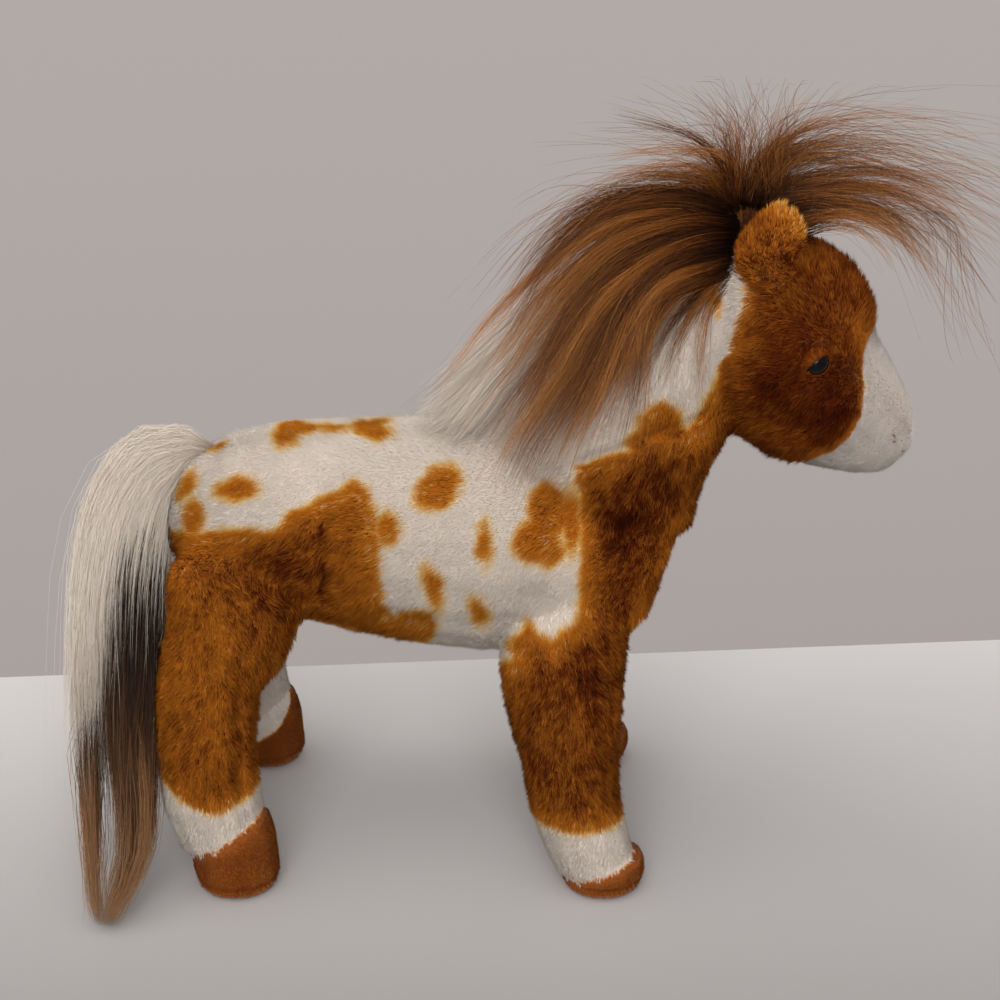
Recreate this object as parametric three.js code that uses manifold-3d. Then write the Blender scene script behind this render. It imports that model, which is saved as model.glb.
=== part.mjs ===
import * as THREE from 'three';
import { mergeVertices } from 'three/addons/utils/BufferGeometryUtils.js';
import Module from 'manifold-3d';

// A standing plush horse, stuffed and sewn. Millimetres, +X towards the nose, +Z up, soles on z = 0.
// The middle plane of the body is y = 0 until the whole is centred on its footprint at the end.

const wasm = await Module();
wasm.setup();

// Cloth and clearances
const plush = 3; // backing and short pile of a cover
const seam = 0.3; // between pieces that are sewn or stuffed against each other
const cutterShare = 3; // a cutting block's size, as a share of the torso's length

// Torso, from rump to chest
const torsoLength = 229;
const torsoHeight = 104;
const torsoWidth = 106;
const torsoMiddle = -42.5;
const torsoRise = 150;

// Neck, from the shoulders to behind the jaw
const neckDepth = 124;
const neckWidth = 92;
const neckReach = 104;
const neckClimb = 122;

// Head, from the poll to the lips
const headLength = 125;
const headDepth = 91;
const headWidth = 76;
const headPitch = THREE.MathUtils.degToRad(45);
const headForward = 122;
const headRise = 238;

// Legs, from inside the torso to the sock's lower edge
const hindTop = 152;
const hindDepth = 66;
const hindWidth = 48;
const hindStanceShare = 0.386; // of the torso's length, behind its middle
const foreTop = 134;
const foreDepth = 64;
const foreWidth = 46;
const foreStanceShare = 0.334; // of the torso's length, ahead of its middle
const halfTrack = 58; // middle plane to the middle of a hoof
const hindStance = torsoMiddle - torsoLength * hindStanceShare;
const foreStance = torsoMiddle + torsoLength * foreStanceShare;
const legFoot = 10; // height at which a leg's own form ends, inside its hoof

// Hooves and soles
const hoofLength = 42;
const hoofWidth = 38;
const hoofHeight = 46;
const hindSeamHeight = 29;
const hindSeamSlope = THREE.MathUtils.degToRad(30);
const foreSeamHeight = 11.5;
const foreSeamSlope = THREE.MathUtils.degToRad(18);
const soleThickness = 4;
const soleInset = 1.6; // how far the rounded edge draws in
const solePressed = 0.5; // depth to which the sole is flattened on the floor

// Ears
const earLength = 31;
const earRadius = 17;
const earLining = 2;
const earSunk = 6; // the part of an ear's length that starts below the head's surface

// Safety eyes and their washers
const eyeRadius = 5.25;
const eyeDome = 4.2;
const eyeRim = 0.8;
const stemRadius = 1.8;
const stemLength = 13;
const stemFit = 0.3;
const washerRadius = 8;
const washerThickness = 2;

// Long pile
const maneReach = 106;
const maneDrop = 118;
const maneSpread = 53;
const maneThickness = 18;
const forelockReach = 96;
const forelockRise = 45;
const forelockWidth = 38;
const forelockThickness = 40;
const tailRootShare = 0.44; // of the torso's height, above its middle
const tailRise = torsoRise + torsoHeight * tailRootShare;
const tailBack = 42;
const tailSwing = 104;
const tailWidth = 43;
const tailThickness = 38;
const tailClear = 1.5; // tip of the tail above the floor

// Counts of facets
const soleSteps = 3;
const eyeSides = 20;
const domeSteps = 5;
const muzzleSteps = 16;
const earRows = 7;
const earColumns = 6;
const maneRows = 9;
const maneColumns = 8;

// Where lines start or turn, as shares of their lengths
const neckStartShare = 0.19; // of the torso's length, forward of its middle
const headMiddleShare = 0.43; // of the head's length, behind its middle
const tailStartShare = 0.45; // of the tail's reach, ahead of the rump
const maneEdgeShare = 0.35; // of the mane's thickness, left at its rim

// Places on the head, as shares of its length and angles round it from the forehead
const eyePlaceShare = 0.42;
const eyeAngle = THREE.MathUtils.degToRad(77);
const earPlaceShare = 0.09;
const earAngle = THREE.MathUtils.degToRad(74);
const earLeanForward = 0.25;
const earLeanOut = 0.22;
const earTurn = THREE.MathUtils.degToRad(40);

const sideways = new THREE.Vector3(0, 1, 0);
const nudge = 0.01; // a small step of share or angle, for directions on a surface

// Depth of a washer's inner face below the pile: the cloth, and the bow of the head across the washer
const washerPlace = plush + 2 * washerRadius ** 2 / headWidth + washerThickness + seam;

// A form swells and tapers along a line through equally spaced rows.
// Each row has its middle, its half depth in the line's own plane and its half width across it.
// Facets holds the count of its rings and of the sides of a ring, and the power by which each end rounds
// off, where zero leaves the end flat.
function makeForm(rows, facets) {
  return {
    line: new THREE.CatmullRomCurve3(rows.map((row) => row.at)),
    halves: new THREE.CatmullRomCurve3(rows.map((row) => new THREE.Vector3(row.deep, row.wide, 0))),
    ...facets,
  };
}

function clampShare(share) {
  return Math.min(1, Math.max(0, share));
}

// The middle, the two half sizes and the axes of a form at a share of its length
function station(form, share) {
  const held = clampShare(share);
  const tangent = form.line.getTangent(held);
  const middle = form.line.getPoint(held).addScaledVector(tangent, (share - held) * form.line.getLength());
  const halves = form.halves.getPoint(held);
  const deepAxis = new THREE.Vector3().crossVectors(tangent, sideways).normalize();
  const wideAxis = new THREE.Vector3().crossVectors(deepAxis, tangent).normalize();
  return { middle, tangent, deep: halves.x, wide: halves.y, deepAxis, wideAxis };
}

// How much of its full size a form has at a turn from 0 to pi along its length
function roundness(form, turn) {
  const power = turn < Math.PI / 2 ? form.startRound : form.endRound;
  return power === 0 ? 1 : Math.max(0, Math.sin(turn)) ** power;
}

function ringOf(form, turn, grow) {
  const length = form.line.getLength();
  const first = -grow / length;
  const share = first + (1 - Math.cos(turn)) / 2 * (1 - 2 * first);
  const at = station(form, share);
  const factor = roundness(form, turn);
  const points = [];
  for (let i = 0; i < form.sides; i++) {
    const angle = (i / form.sides) * 2 * Math.PI;
    points.push(at.middle.clone()
      .addScaledVector(at.deepAxis, (at.deep + grow) * factor * Math.cos(angle))
      .addScaledVector(at.wideAxis, (at.wide + grow) * factor * Math.sin(angle)));
  }
  return { points, middle: at.middle };
}

// The closed solid of a form, swelled outwards by grow, or drawn in where it is negative
function swell(form, grow = 0) {
  const rounds = [];
  const startFlat = form.startRound === 0;
  const endFlat = form.endRound === 0;
  for (let k = startFlat ? 0 : 1; k <= form.rings - (endFlat ? 0 : 1); k++) {
    rounds.push(ringOf(form, (k / form.rings) * Math.PI, grow).points);
  }
  return joined(rounds, ringOf(form, 0, grow).middle, ringOf(form, Math.PI, grow).middle);
}

// Rings of points joined into a closed solid between two tips
function joined(rounds, startTip, endTip) {
  const count = rounds[0].length;
  const points = [...rounds.flat(), startTip, endTip];
  const first = points.length - 2;
  const last = points.length - 1;
  const base = (rounds.length - 1) * count;
  const faces = [];
  for (let i = 0; i < count; i++) {
    const next = (i + 1) % count;
    for (let k = 0; k + 1 < rounds.length; k++) {
      const near = k * count;
      const far = near + count;
      faces.push([near + i, far + next, near + next], [near + i, far + i, far + next]);
    }
    faces.push([first, i, next], [last, base + next, base + i]);
  }
  return solidOf(points, faces);
}

// A sheet between two grids of points, closed round its rim
function sheetOf(outer, inner) {
  const rows = outer.length;
  const columns = outer[0].length;
  const points = [...outer.flat(), ...inner.flat()];
  const other = rows * columns;
  const faces = [];
  const quad = (a, b, c, d) => faces.push([a, b, c], [a, c, d]);
  for (let r = 0; r + 1 < rows; r++) {
    for (let c = 0; c + 1 < columns; c++) {
      const a = r * columns + c;
      quad(a, a + 1, a + columns + 1, a + columns);
      quad(other + a, other + a + columns, other + a + columns + 1, other + a + 1);
    }
    const left = r * columns;
    const right = left + columns - 1;
    quad(left, left + columns, other + left + columns, other + left);
    quad(right, other + right, other + right + columns, right + columns);
  }
  for (let c = 0; c + 1 < columns; c++) {
    const low = c;
    const high = (rows - 1) * columns + c;
    quad(low, other + low, other + low + 1, low + 1);
    quad(high, high + 1, other + high + 1, other + high);
  }
  return solidOf(points, faces);
}

function solidOf(points, faces) {
  const mesh = new wasm.Mesh({
    numProp: 3,
    vertProperties: new Float32Array(points.flatMap((point) => point.toArray())),
    triVerts: new Uint32Array(faces.flat()),
  });
  const solid = new wasm.Manifold(mesh);
  if (solid.volume() > 0) return solid;
  mesh.triVerts = new Uint32Array(faces.flatMap(([a, b, c]) => [a, c, b]));
  return new wasm.Manifold(mesh);
}

// The largest body of a solid, without the crumbs that a cut can leave
function mainBody(solid) {
  return solid.decompose().sort((a, b) => b.volume() - a.volume())[0];
}

// A three.js geometry as a solid
function solidFrom(geometry) {
  geometry.deleteAttribute('normal');
  geometry.deleteAttribute('uv');
  const merged = mergeVertices(geometry);
  const index = merged.index.array;
  const place = merged.attributes.position;
  const points = [];
  for (let i = 0; i < place.count; i++) points.push(new THREE.Vector3().fromBufferAttribute(place, i));
  const faces = [];
  for (let i = 0; i < index.length; i += 3) {
    const [a, b, c] = index.subarray(i, i + 3);
    if (a !== b && b !== c && c !== a) faces.push([a, b, c]);
  }
  return solidOf(points, faces);
}

// Torso: a barrel, fuller at the shoulders. Rows of rise, half height and half width
const torsoShares = [
  [-0.01, 0.46, 0.43],
  [0.04, 0.47, 0.46],
  [0.05, 0.46, 0.48],
  [0.01, 0.48, 0.49],
  [-0.01, 0.51, 0.5],
  [-0.02, 0.54, 0.5],
  [-0.03, 0.52, 0.49],
  [-0.02, 0.48, 0.46],
];

function torsoForm() {
  const rows = torsoShares.map(([rise, deep, wide], i) => ({
    at: new THREE.Vector3(
      torsoMiddle + torsoLength * (i / (torsoShares.length - 1) - 0.5),
      0,
      torsoRise + torsoHeight * rise,
    ),
    deep: torsoHeight * deep,
    wide: torsoWidth * wide,
  }));
  return makeForm(rows, { rings: 12, sides: 20, startRound: 0.5, endRound: 0.55 });
}

// Neck: rows of forward, climb, half depth and half width, from the shoulders up
const neckShares = [
  [0, 0, 0.47, 0.46],
  [0.26, 0.25, 0.46, 0.49],
  [0.5, 0.52, 0.36, 0.43],
  [0.74, 0.76, 0.31, 0.37],
  [1, 1, 0.28, 0.33],
];

function neckForm() {
  const startX = torsoMiddle + torsoLength * neckStartShare;
  const rows = neckShares.map(([forward, climb, deep, wide]) => ({
    at: new THREE.Vector3(startX + neckReach * forward, 0, torsoRise + neckClimb * climb),
    deep: neckDepth * deep,
    wide: neckWidth * wide,
  }));
  return makeForm(rows, { rings: 8, sides: 16, startRound: 0.5, endRound: 0.5 });
}

// Head: rows of offset towards the forehead, half depth and half width, from the poll to the lips
const headShares = [
  [0.09, 0.29, 0.34],
  [0.04, 0.47, 0.45],
  [-0.025, 0.52, 0.5],
  [-0.07, 0.48, 0.5],
  [-0.09, 0.425, 0.46],
  [-0.07, 0.375, 0.41],
  [-0.05, 0.325, 0.37],
  [-0.05, 0.27, 0.33],
];

function headForm() {
  const along = new THREE.Vector3(Math.cos(headPitch), 0, -Math.sin(headPitch));
  const up = new THREE.Vector3(Math.sin(headPitch), 0, Math.cos(headPitch));
  const middle = new THREE.Vector3(headForward, 0, headRise);
  const rows = headShares.map(([offset, deep, wide], i) => ({
    at: middle.clone()
      .addScaledVector(along, headLength * (i / (headShares.length - 1) - headMiddleShare))
      .addScaledVector(up, headDepth * offset),
    deep: headDepth * deep,
    wide: headWidth * wide,
  }));
  return makeForm(rows, { rings: 12, sides: 18, startRound: 0.5, endRound: 0.55 });
}

// Legs: rows of forward, outward, half depth and half width, from the top down.
// Forward is a share of the depth from the hoof, and outward a share of the half track.
const hindShares = [
  [0.26, 0.5, 0.5, 0.5],
  [0.14, 0.62, 0.56, 0.5],
  [-0.06, 0.75, 0.385, 0.48],
  [-0.115, 0.84, 0.355, 0.45],
  [-0.12, 0.92, 0.36, 0.43],
  [-0.05, 0.97, 0.33, 0.42],
  [0.05, 1, 0.28, 0.38],
];
const foreShares = [
  [-0.2, 0.56, 0.54, 0.52],
  [-0.23, 0.66, 0.51, 0.5],
  [-0.21, 0.78, 0.43, 0.48],
  [-0.17, 0.88, 0.35, 0.44],
  [-0.11, 0.95, 0.33, 0.42],
  [0.03, 1, 0.28, 0.39],
];

function legForm(kind, side) {
  const rows = kind.shares.map(([forward, outward, deep, wide], i) => ({
    at: new THREE.Vector3(
      kind.stance + kind.depth * forward,
      side * halfTrack * outward,
      kind.top - (kind.top - legFoot) * i / (kind.shares.length - 1),
    ),
    deep: kind.depth * deep,
    wide: kind.width * wide,
  }));
  return makeForm(rows, { rings: 9, sides: 12, startRound: 0.5, endRound: 0 });
}

// Hooves: rows of forward, half length and half width, from the floor up
const hoofShares = [
  [0.1, 0.44, 0.45],
  [0.09, 0.5, 0.5],
  [0.02, 0.47, 0.48],
  [-0.06, 0.46, 0.47],
];

function hoofForm(kind, side) {
  const rows = hoofShares.map(([forward, deep, wide], i) => ({
    at: new THREE.Vector3(
      kind.stance + hoofLength * forward,
      side * halfTrack,
      hoofHeight * i / (hoofShares.length - 1),
    ),
    deep: hoofLength * deep,
    wide: hoofWidth * wide,
  }));
  return makeForm(rows, { rings: 4, sides: 12, startRound: 0, endRound: 0 });
}

// A block that fills everything above or below a plane, which slopes up towards the toe
function beyondPlane(x, z, slope, shift, up) {
  const reach = torsoLength * cutterShare;
  const block = new THREE.BoxGeometry(reach, reach, reach);
  block.translate(0, 0, (up ? 1 : -1) * reach / 2 + shift);
  block.rotateY(-slope);
  block.translate(x, 0, z);
  return solidFrom(block);
}

function soleOf(kind, side) {
  const form = hoofForm(kind, side);
  const rounds = [];
  for (let k = 0; k <= soleSteps; k++) {
    const turn = (k / soleSteps) * Math.PI / 2;
    const ring = ringOf(form, 0, -soleInset * (1 - Math.sin(turn)));
    const z = (soleThickness + solePressed) * (1 - Math.cos(turn)) - solePressed;
    rounds.push(ring.points.map((point) => new THREE.Vector3(point.x, point.y, z)));
  }
  const middle = ringOf(form, 0, 0).middle;
  const round = joined(rounds, middle.clone().setZ(-solePressed), middle.clone().setZ(soleThickness));
  return round.subtract(beyondPlane(0, 0, 0, 0, false));
}

const white = { color: 0xe6e0db, roughness: 0.95, metalness: 0 };
const golden = { color: 0xa5641e, roughness: 0.95, metalness: 0 };
const chestnut = { color: 0x7a3d12, roughness: 0.95, metalness: 0 };
const tan = { color: 0x965f2d, roughness: 0.9, metalness: 0 };
const hair = { color: 0x6f4420, roughness: 0.6, metalness: 0 };
const cream = { color: 0xd9cfc4, roughness: 0.6, metalness: 0 };
const black = { color: 0x0b0908, roughness: 0.12, metalness: 0 };
const washerGrey = { color: 0xb9b9b4, roughness: 0.5, metalness: 0 };
const fibre = { color: 0xf1f1ee, roughness: 1, metalness: 0 };

const horse = new THREE.Group();

function addPiece(name, solid, look) {
  const mesh = mainBody(solid).getMesh();
  const geometry = new THREE.BufferGeometry();
  geometry.setAttribute('position', new THREE.BufferAttribute(new Float32Array(mesh.vertProperties), 3));
  geometry.setIndex(new THREE.BufferAttribute(new Uint32Array(mesh.triVerts), 1));
  geometry.computeVertexNormals();
  const piece = new THREE.Mesh(geometry, new THREE.MeshStandardMaterial(look));
  piece.name = name;
  horse.add(piece);
}

const torso = torsoForm();
const neck = neckForm();
const head = headForm();
const sides = { right: -1, left: 1 };
const hind = {
  shares: hindShares, stance: hindStance, depth: hindDepth, width: hindWidth, top: hindTop,
  seamHeight: hindSeamHeight, seamSlope: hindSeamSlope,
};
const fore = {
  shares: foreShares, stance: foreStance, depth: foreDepth, width: foreWidth, top: foreTop,
  seamHeight: foreSeamHeight, seamSlope: foreSeamSlope,
};
const torsoClear = swell(torso, seam);
const headClear = swell(head, seam);

// Legs with their hooves, soles and filling
const legHollows = [];
const legsClear = [];
function addLeg(label, kind, side) {
  const leg = legForm(kind, side);
  const hoof = hoofForm(kind, side);
  const seamAt = (shift, up) => beyondPlane(kind.stance, kind.seamHeight, kind.seamSlope, shift, up);
  const floorAt = (z) => beyondPlane(0, z, 0, 0, false);
  const hollow = swell(leg, -plush);
  legHollows.push(hollow);
  legsClear.push(swell(leg, seam));
  const cover = swell(leg).subtract(hollow).subtract(torsoClear).subtract(seamAt(0, false));
  const wall = swell(hoof).subtract(swell(hoof, -plush))
    .subtract(seamAt(-seam, true)).subtract(floorAt(soleThickness + seam));
  const legStuffing = swell(leg, -plush - seam).subtract(torsoClear);
  const hoofStuffing = swell(hoof, -plush - seam).subtract(floorAt(soleThickness + seam));
  const filling = legStuffing.subtract(seamAt(0, false)).add(hoofStuffing.subtract(seamAt(-seam, true)))
    .add(legStuffing.intersect(hoofStuffing));
  addPiece(`${label}_cover`, cover, golden);
  addPiece(`${label}_hoof`, wall, tan);
  addPiece(`${label}_sole`, soleOf(kind, side), tan);
  addPiece(`${label}_filling`, filling, fibre);
}
for (const [hand, side] of Object.entries(sides)) {
  addLeg(`foreleg_${hand}`, fore, side);
  addLeg(`hindleg_${hand}`, hind, side);
}

const neckHollow = swell(neck, -plush);
let torsoShell = swell(torso).subtract(swell(torso, -plush)).subtract(neckHollow);
for (const hollow of legHollows) torsoShell = torsoShell.subtract(hollow);
addPiece('torso_cover', torsoShell, white);
addPiece('torso_filling', swell(torso, -plush - seam), fibre);
addPiece('neck_cover', swell(neck).subtract(neckHollow).subtract(torsoClear).subtract(headClear), white);
addPiece('neck_filling', swell(neck, -plush - seam).subtract(torsoClear).subtract(headClear), fibre);

// The seam round the muzzle, seen from the side: rows of shares of the head's length and depth
const muzzleShares = [
  [0.09, 0.6],
  [0.115, 0.42],
  [0.125, 0.32],
  [0.125, 0.24],
  [0.155, 0.18],
  [0.22, 0.12],
  [0.28, 0.03],
  [0.315, -0.085],
  [0.325, -0.19],
  [0.315, -0.31],
  [0.29, -0.7],
];

// The space in front of that seam, moved forwards by shift
function muzzleSpace(shift) {
  const seamLine = new THREE.SplineCurve(muzzleShares.map(([along, up]) => (
    new THREE.Vector2(headLength * along + shift, headDepth * up)
  )));
  const outline = new THREE.Shape(seamLine.getPoints(muzzleSteps));
  outline.lineTo(headLength, -headDepth);
  outline.lineTo(headLength, headDepth);
  const block = new THREE.ExtrudeGeometry(outline, { depth: 2 * headWidth, bevelEnabled: false });
  block.translate(0, 0, -headWidth);
  block.rotateX(Math.PI / 2);
  block.rotateY(headPitch);
  block.translate(headForward, 0, headRise);
  return solidFrom(block);
}

function surfacePoint(form, share, angle) {
  const at = station(form, share);
  const factor = roundness(form, Math.acos(1 - 2 * share));
  return at.middle.clone()
    .addScaledVector(at.deepAxis, at.deep * factor * Math.cos(angle))
    .addScaledVector(at.wideAxis, at.wide * factor * Math.sin(angle));
}

// A place on a form's surface at a share of its length and an angle round it, with its outward direction
function surfacePlace(form, share, angle) {
  const point = surfacePoint(form, share, angle);
  const along = surfacePoint(form, share + nudge, angle).sub(point);
  const round = surfacePoint(form, share, angle + nudge).sub(point);
  const outward = along.cross(round).normalize();
  if (outward.dot(point.clone().sub(station(form, share).middle)) < 0) outward.negate();
  return { point, outward };
}

// A revolved solid whose axis points along a direction from a place
function revolved(profile, place, direction) {
  const geometry = new THREE.LatheGeometry(profile.map(([r, h]) => new THREE.Vector2(r, h)), eyeSides);
  geometry.applyQuaternion(new THREE.Quaternion().setFromUnitVectors(sideways, direction));
  geometry.translate(place.x, place.y, place.z);
  return solidFrom(geometry);
}

// A safety eye: a dome with a rim on a plain stem
function eyeProfile() {
  const dome = [];
  for (let k = 0; k <= domeSteps; k++) {
    const turn = (k / domeSteps) * Math.PI / 2;
    dome.push([eyeRadius * Math.sin(turn), eyeRim + eyeDome * Math.cos(turn)]);
  }
  return [...dome, [eyeRadius, 0], [stemRadius, 0], [stemRadius, -stemLength], [0, -stemLength]];
}

// The room that a stem and its washer take in the filling
function pocketProfile() {
  const stemHole = stemRadius + stemFit;
  const washerHole = washerRadius + seam;
  const washerBack = -washerPlace - seam;
  return [
    [0, -stemLength - seam], [stemHole, -stemLength - seam], [stemHole, washerBack],
    [washerHole, washerBack], [washerHole, stemLength], [0, stemLength],
  ];
}

function washerProfile() {
  const bore = stemRadius + stemFit;
  return [[bore, 0], [washerRadius, 0], [washerRadius, washerThickness], [bore, washerThickness], [bore, 0]];
}

function rodProfile(radius, from, to) {
  return [[0, from], [radius, from], [radius, to], [0, to]];
}

// Ears: rows of half angle and radius from the base to the tip, as shares of half a turn and of the radius
const earShares = [
  [0.5, 0.7],
  [0.45, 0.92],
  [0.42, 1],
  [0.39, 1],
  [0.34, 0.96],
  [0.16, 0.88],
];

// One layer of an ear: a leaf that is curled about its length, between two depths below its back,
// with a margin added round its edge
function earLayer(side, nearDepth, farDepth, lastRow, margin = 0) {
  const { point, outward } = surfacePlace(head, earPlaceShare, side * earAngle);
  const up = new THREE.Vector3(earLeanForward, side * earLeanOut, 1).normalize();
  const back = new THREE.Vector3(-Math.cos(earTurn), side * Math.sin(earTurn), 0);
  const ridge = back.clone().addScaledVector(up, -back.dot(up)).normalize();
  const across = new THREE.Vector3().crossVectors(up, ridge);
  const base = point.clone().addScaledVector(outward, -earSunk);
  const spread = new THREE.CatmullRomCurve3(earShares.map(([angle, radius]) => (
    new THREE.Vector3(angle * Math.PI, radius * earRadius, 0)
  )));
  const grid = (depth) => {
    const rows = [];
    for (let r = 0; r <= lastRow; r++) {
      const share = r / earRows;
      const { x: half, y: radius } = spread.getPoint(share);
      const row = [];
      for (let c = 0; c <= earColumns; c++) {
        const turn = (half + margin / radius) * (2 * c / earColumns - 1);
        row.push(base.clone()
          .addScaledVector(up, (earLength + earSunk + margin) * share)
          .addScaledVector(ridge, (radius - depth) * Math.cos(turn))
          .addScaledVector(across, (radius - depth) * Math.sin(turn)));
      }
      rows.push(row);
    }
    return rows;
  };
  return sheetOf(grid(nearDepth), grid(farDepth));
}

// Mane: guides from root to tip, as shares of the reach, the spread and the drop from the poll,
// from the lock in front to the highest arc over the neck
const maneShares = [
  [
    [-0.01, -0.23, -0.03], [-0.22, -0.57, -0.07], [-0.41, -0.81, -0.18],
    [-0.47, -0.93, -0.39], [-0.54, -0.98, -0.66],
  ],
  [
    [-0.01, -0.15, 0.02], [-0.32, -0.49, -0.02], [-0.54, -0.76, -0.19],
    [-0.72, -0.92, -0.46], [-0.93, -1, -0.84],
  ],
  [
    [0, -0.11, 0.05], [-0.32, -0.42, 0.04], [-0.59, -0.68, -0.11],
    [-0.75, -0.85, -0.33], [-0.97, -0.94, -0.61],
  ],
  [
    [0, -0.08, 0.09], [-0.28, -0.3, 0.16], [-0.58, -0.51, 0.1],
    [-0.78, -0.68, -0.07], [-0.94, -0.79, -0.29],
  ],
  [
    [0, -0.04, 0.12], [-0.23, -0.19, 0.23], [-0.49, -0.34, 0.25],
    [-0.68, -0.48, 0.19], [-0.83, -0.6, 0.06],
  ],
];

function guideSurface(guides, from, scale) {
  const lines = guides.map((guide) => new THREE.CatmullRomCurve3(guide.map(([x, y, z]) => (
    from.clone().add(new THREE.Vector3(x, y, z).multiply(scale))
  ))));
  return (across, along) => {
    const crossing = new THREE.CatmullRomCurve3(lines.map((line) => line.getPoint(along)));
    return crossing.getPoint(across);
  };
}

function maneSolid() {
  const poll = station(head, 0).middle;
  const surface = guideSurface(maneShares, poll, new THREE.Vector3(maneReach, maneSpread, maneDrop));
  const grid = (way) => {
    const rows = [];
    for (let r = 0; r <= maneRows; r++) {
      const row = [];
      for (let c = 0; c <= maneColumns; c++) {
        const across = c / maneColumns;
        const along = r / maneRows;
        const point = surface(across, along);
        const a = surface(clampShare(across + nudge), along).sub(surface(clampShare(across - nudge), along));
        const b = surface(across, clampShare(along + nudge)).sub(surface(across, clampShare(along - nudge)));
        const normal = a.cross(b).normalize();
        const inside = Math.sin(Math.PI * across) * Math.sqrt(Math.sin(Math.PI * along));
        const swellShare = maneEdgeShare + (1 - maneEdgeShare) * inside;
        row.push(point.addScaledVector(normal, way * maneThickness * swellShare / 2));
      }
      rows.push(row);
    }
    return rows;
  };
  return sheetOf(grid(1), grid(-1));
}

// Forelock: rows of forward, rise, half thickness and half width, from the poll to the tips
const forelockShares = [
  [0.03, 0, 0.3, 0.34],
  [0.21, 0.3, 0.42, 0.46],
  [0.3, 0.54, 0.45, 0.5],
  [0.43, 0.68, 0.46, 0.5],
  [0.59, 0.72, 0.46, 0.5],
  [0.76, 0.54, 0.38, 0.46],
  [0.91, 0.22, 0.28, 0.36],
  [1, -0.08, 0.14, 0.2],
];

function forelockForm() {
  const poll = station(head, 0).middle;
  const rows = forelockShares.map(([forward, rise, deep, wide]) => ({
    at: poll.clone().add(new THREE.Vector3(forelockReach * forward, 0, forelockRise * rise)),
    deep: forelockThickness * deep,
    wide: forelockWidth * wide,
  }));
  return makeForm(rows, { rings: 10, sides: 12, startRound: 0.5, endRound: 0.7 });
}

// Tail: rows of backward, swing, height, half width and half thickness, from the rump to the tip
const tailShares = [
  [-0.1, 0, 0.96, 0.2, 0.26],
  [0.4, 0.03, 1, 0.36, 0.4],
  [0.84, 0.09, 0.93, 0.46, 0.48],
  [0.96, 0.22, 0.76, 0.5, 0.5],
  [0.97, 0.4, 0.58, 0.49, 0.48],
  [0.99, 0.57, 0.4, 0.45, 0.44],
  [0.9, 0.74, 0.2, 0.44, 0.38],
  [0.88, 0.93, 0, 0.3, 0.24],
];

function tailForm() {
  const rump = torsoMiddle - torsoLength / 2;
  const rows = tailShares.map(([back, swing, height, wide, thick]) => ({
    at: new THREE.Vector3(rump - tailBack * (back - tailStartShare), -tailSwing * swing, tailRise * height),
    deep: tailWidth * wide,
    wide: tailThickness * thick,
  }));
  return makeForm(rows, { rings: 12, sides: 12, startRound: 0.4, endRound: 0.6 });
}

// Head and muzzle, eyes and washers
let headShell = swell(head).subtract(swell(head, -plush));
let headStuffing = swell(head, -plush - seam);
for (const [hand, side] of Object.entries(sides)) {
  const { point, outward } = surfacePlace(head, eyePlaceShare, side * eyeAngle);
  const washerAt = point.clone().addScaledVector(outward, -washerPlace);
  const seat = point.clone().addScaledVector(outward, seam);
  const hole = revolved(rodProfile(stemRadius + stemFit, -stemLength, stemLength), point, outward);
  const pocket = revolved(pocketProfile(), point, outward);
  headShell = headShell.subtract(hole);
  headStuffing = headStuffing.subtract(pocket);
  addPiece(`eye_${hand}`, revolved(eyeProfile(), seat, outward), black);
  addPiece(`eye_washer_${hand}`, revolved(washerProfile(), washerAt, outward), washerGrey);
  const earOf = (near, far, rows) => earLayer(side, near, far, rows).subtract(headClear);
  addPiece(`ear_${hand}_back`, earOf(0, plush, earRows), golden);
  addPiece(`ear_${hand}_lining`, earOf(plush + seam, plush + seam + earLining, earRows - 1), golden);
}
addPiece('head_cover', headShell.subtract(muzzleSpace(0)).subtract(neckHollow), chestnut);
addPiece('muzzle_cover', headShell.intersect(muzzleSpace(seam)), white);
addPiece('head_filling', headStuffing, fibre);

// Long pile, cut by the body that it lies on
const clearings = [torsoClear, headClear, swell(neck, seam)];
for (const side of Object.values(sides)) clearings.push(earLayer(side, -seam, earRadius, earRows, 2 * seam));
const cutBy = (solid, cutters) => cutters.reduce((rest, cutter) => rest.subtract(cutter), solid);
const forelock = forelockForm();
addPiece('forelock', cutBy(swell(forelock), clearings), hair);
addPiece('mane', cutBy(maneSolid(), [...clearings, swell(forelock, seam)]), hair);
const belowTail = beyondPlane(0, tailClear, 0, 0, false);
addPiece('tail', cutBy(swell(tailForm()), [torsoClear, ...legsClear, belowTail]), cream);

// The origin is the middle of the footprint
const footprint = new THREE.Box3().setFromObject(horse).getCenter(new THREE.Vector3());
horse.position.set(-footprint.x, -footprint.y, 0);

export default horse;
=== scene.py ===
"""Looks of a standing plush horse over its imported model: pelt, short pile, mane, tail, eyes and studio.

Lengths in the tables are millimetres in the horse's own frame: its middle plane is y = 0, +X is towards
the nose, -Y is its right side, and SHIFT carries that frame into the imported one.
"""

import itertools
import math

import bpy
import numpy as np
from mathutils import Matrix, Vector
from mathutils.bvhtree import BVHTree


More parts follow.
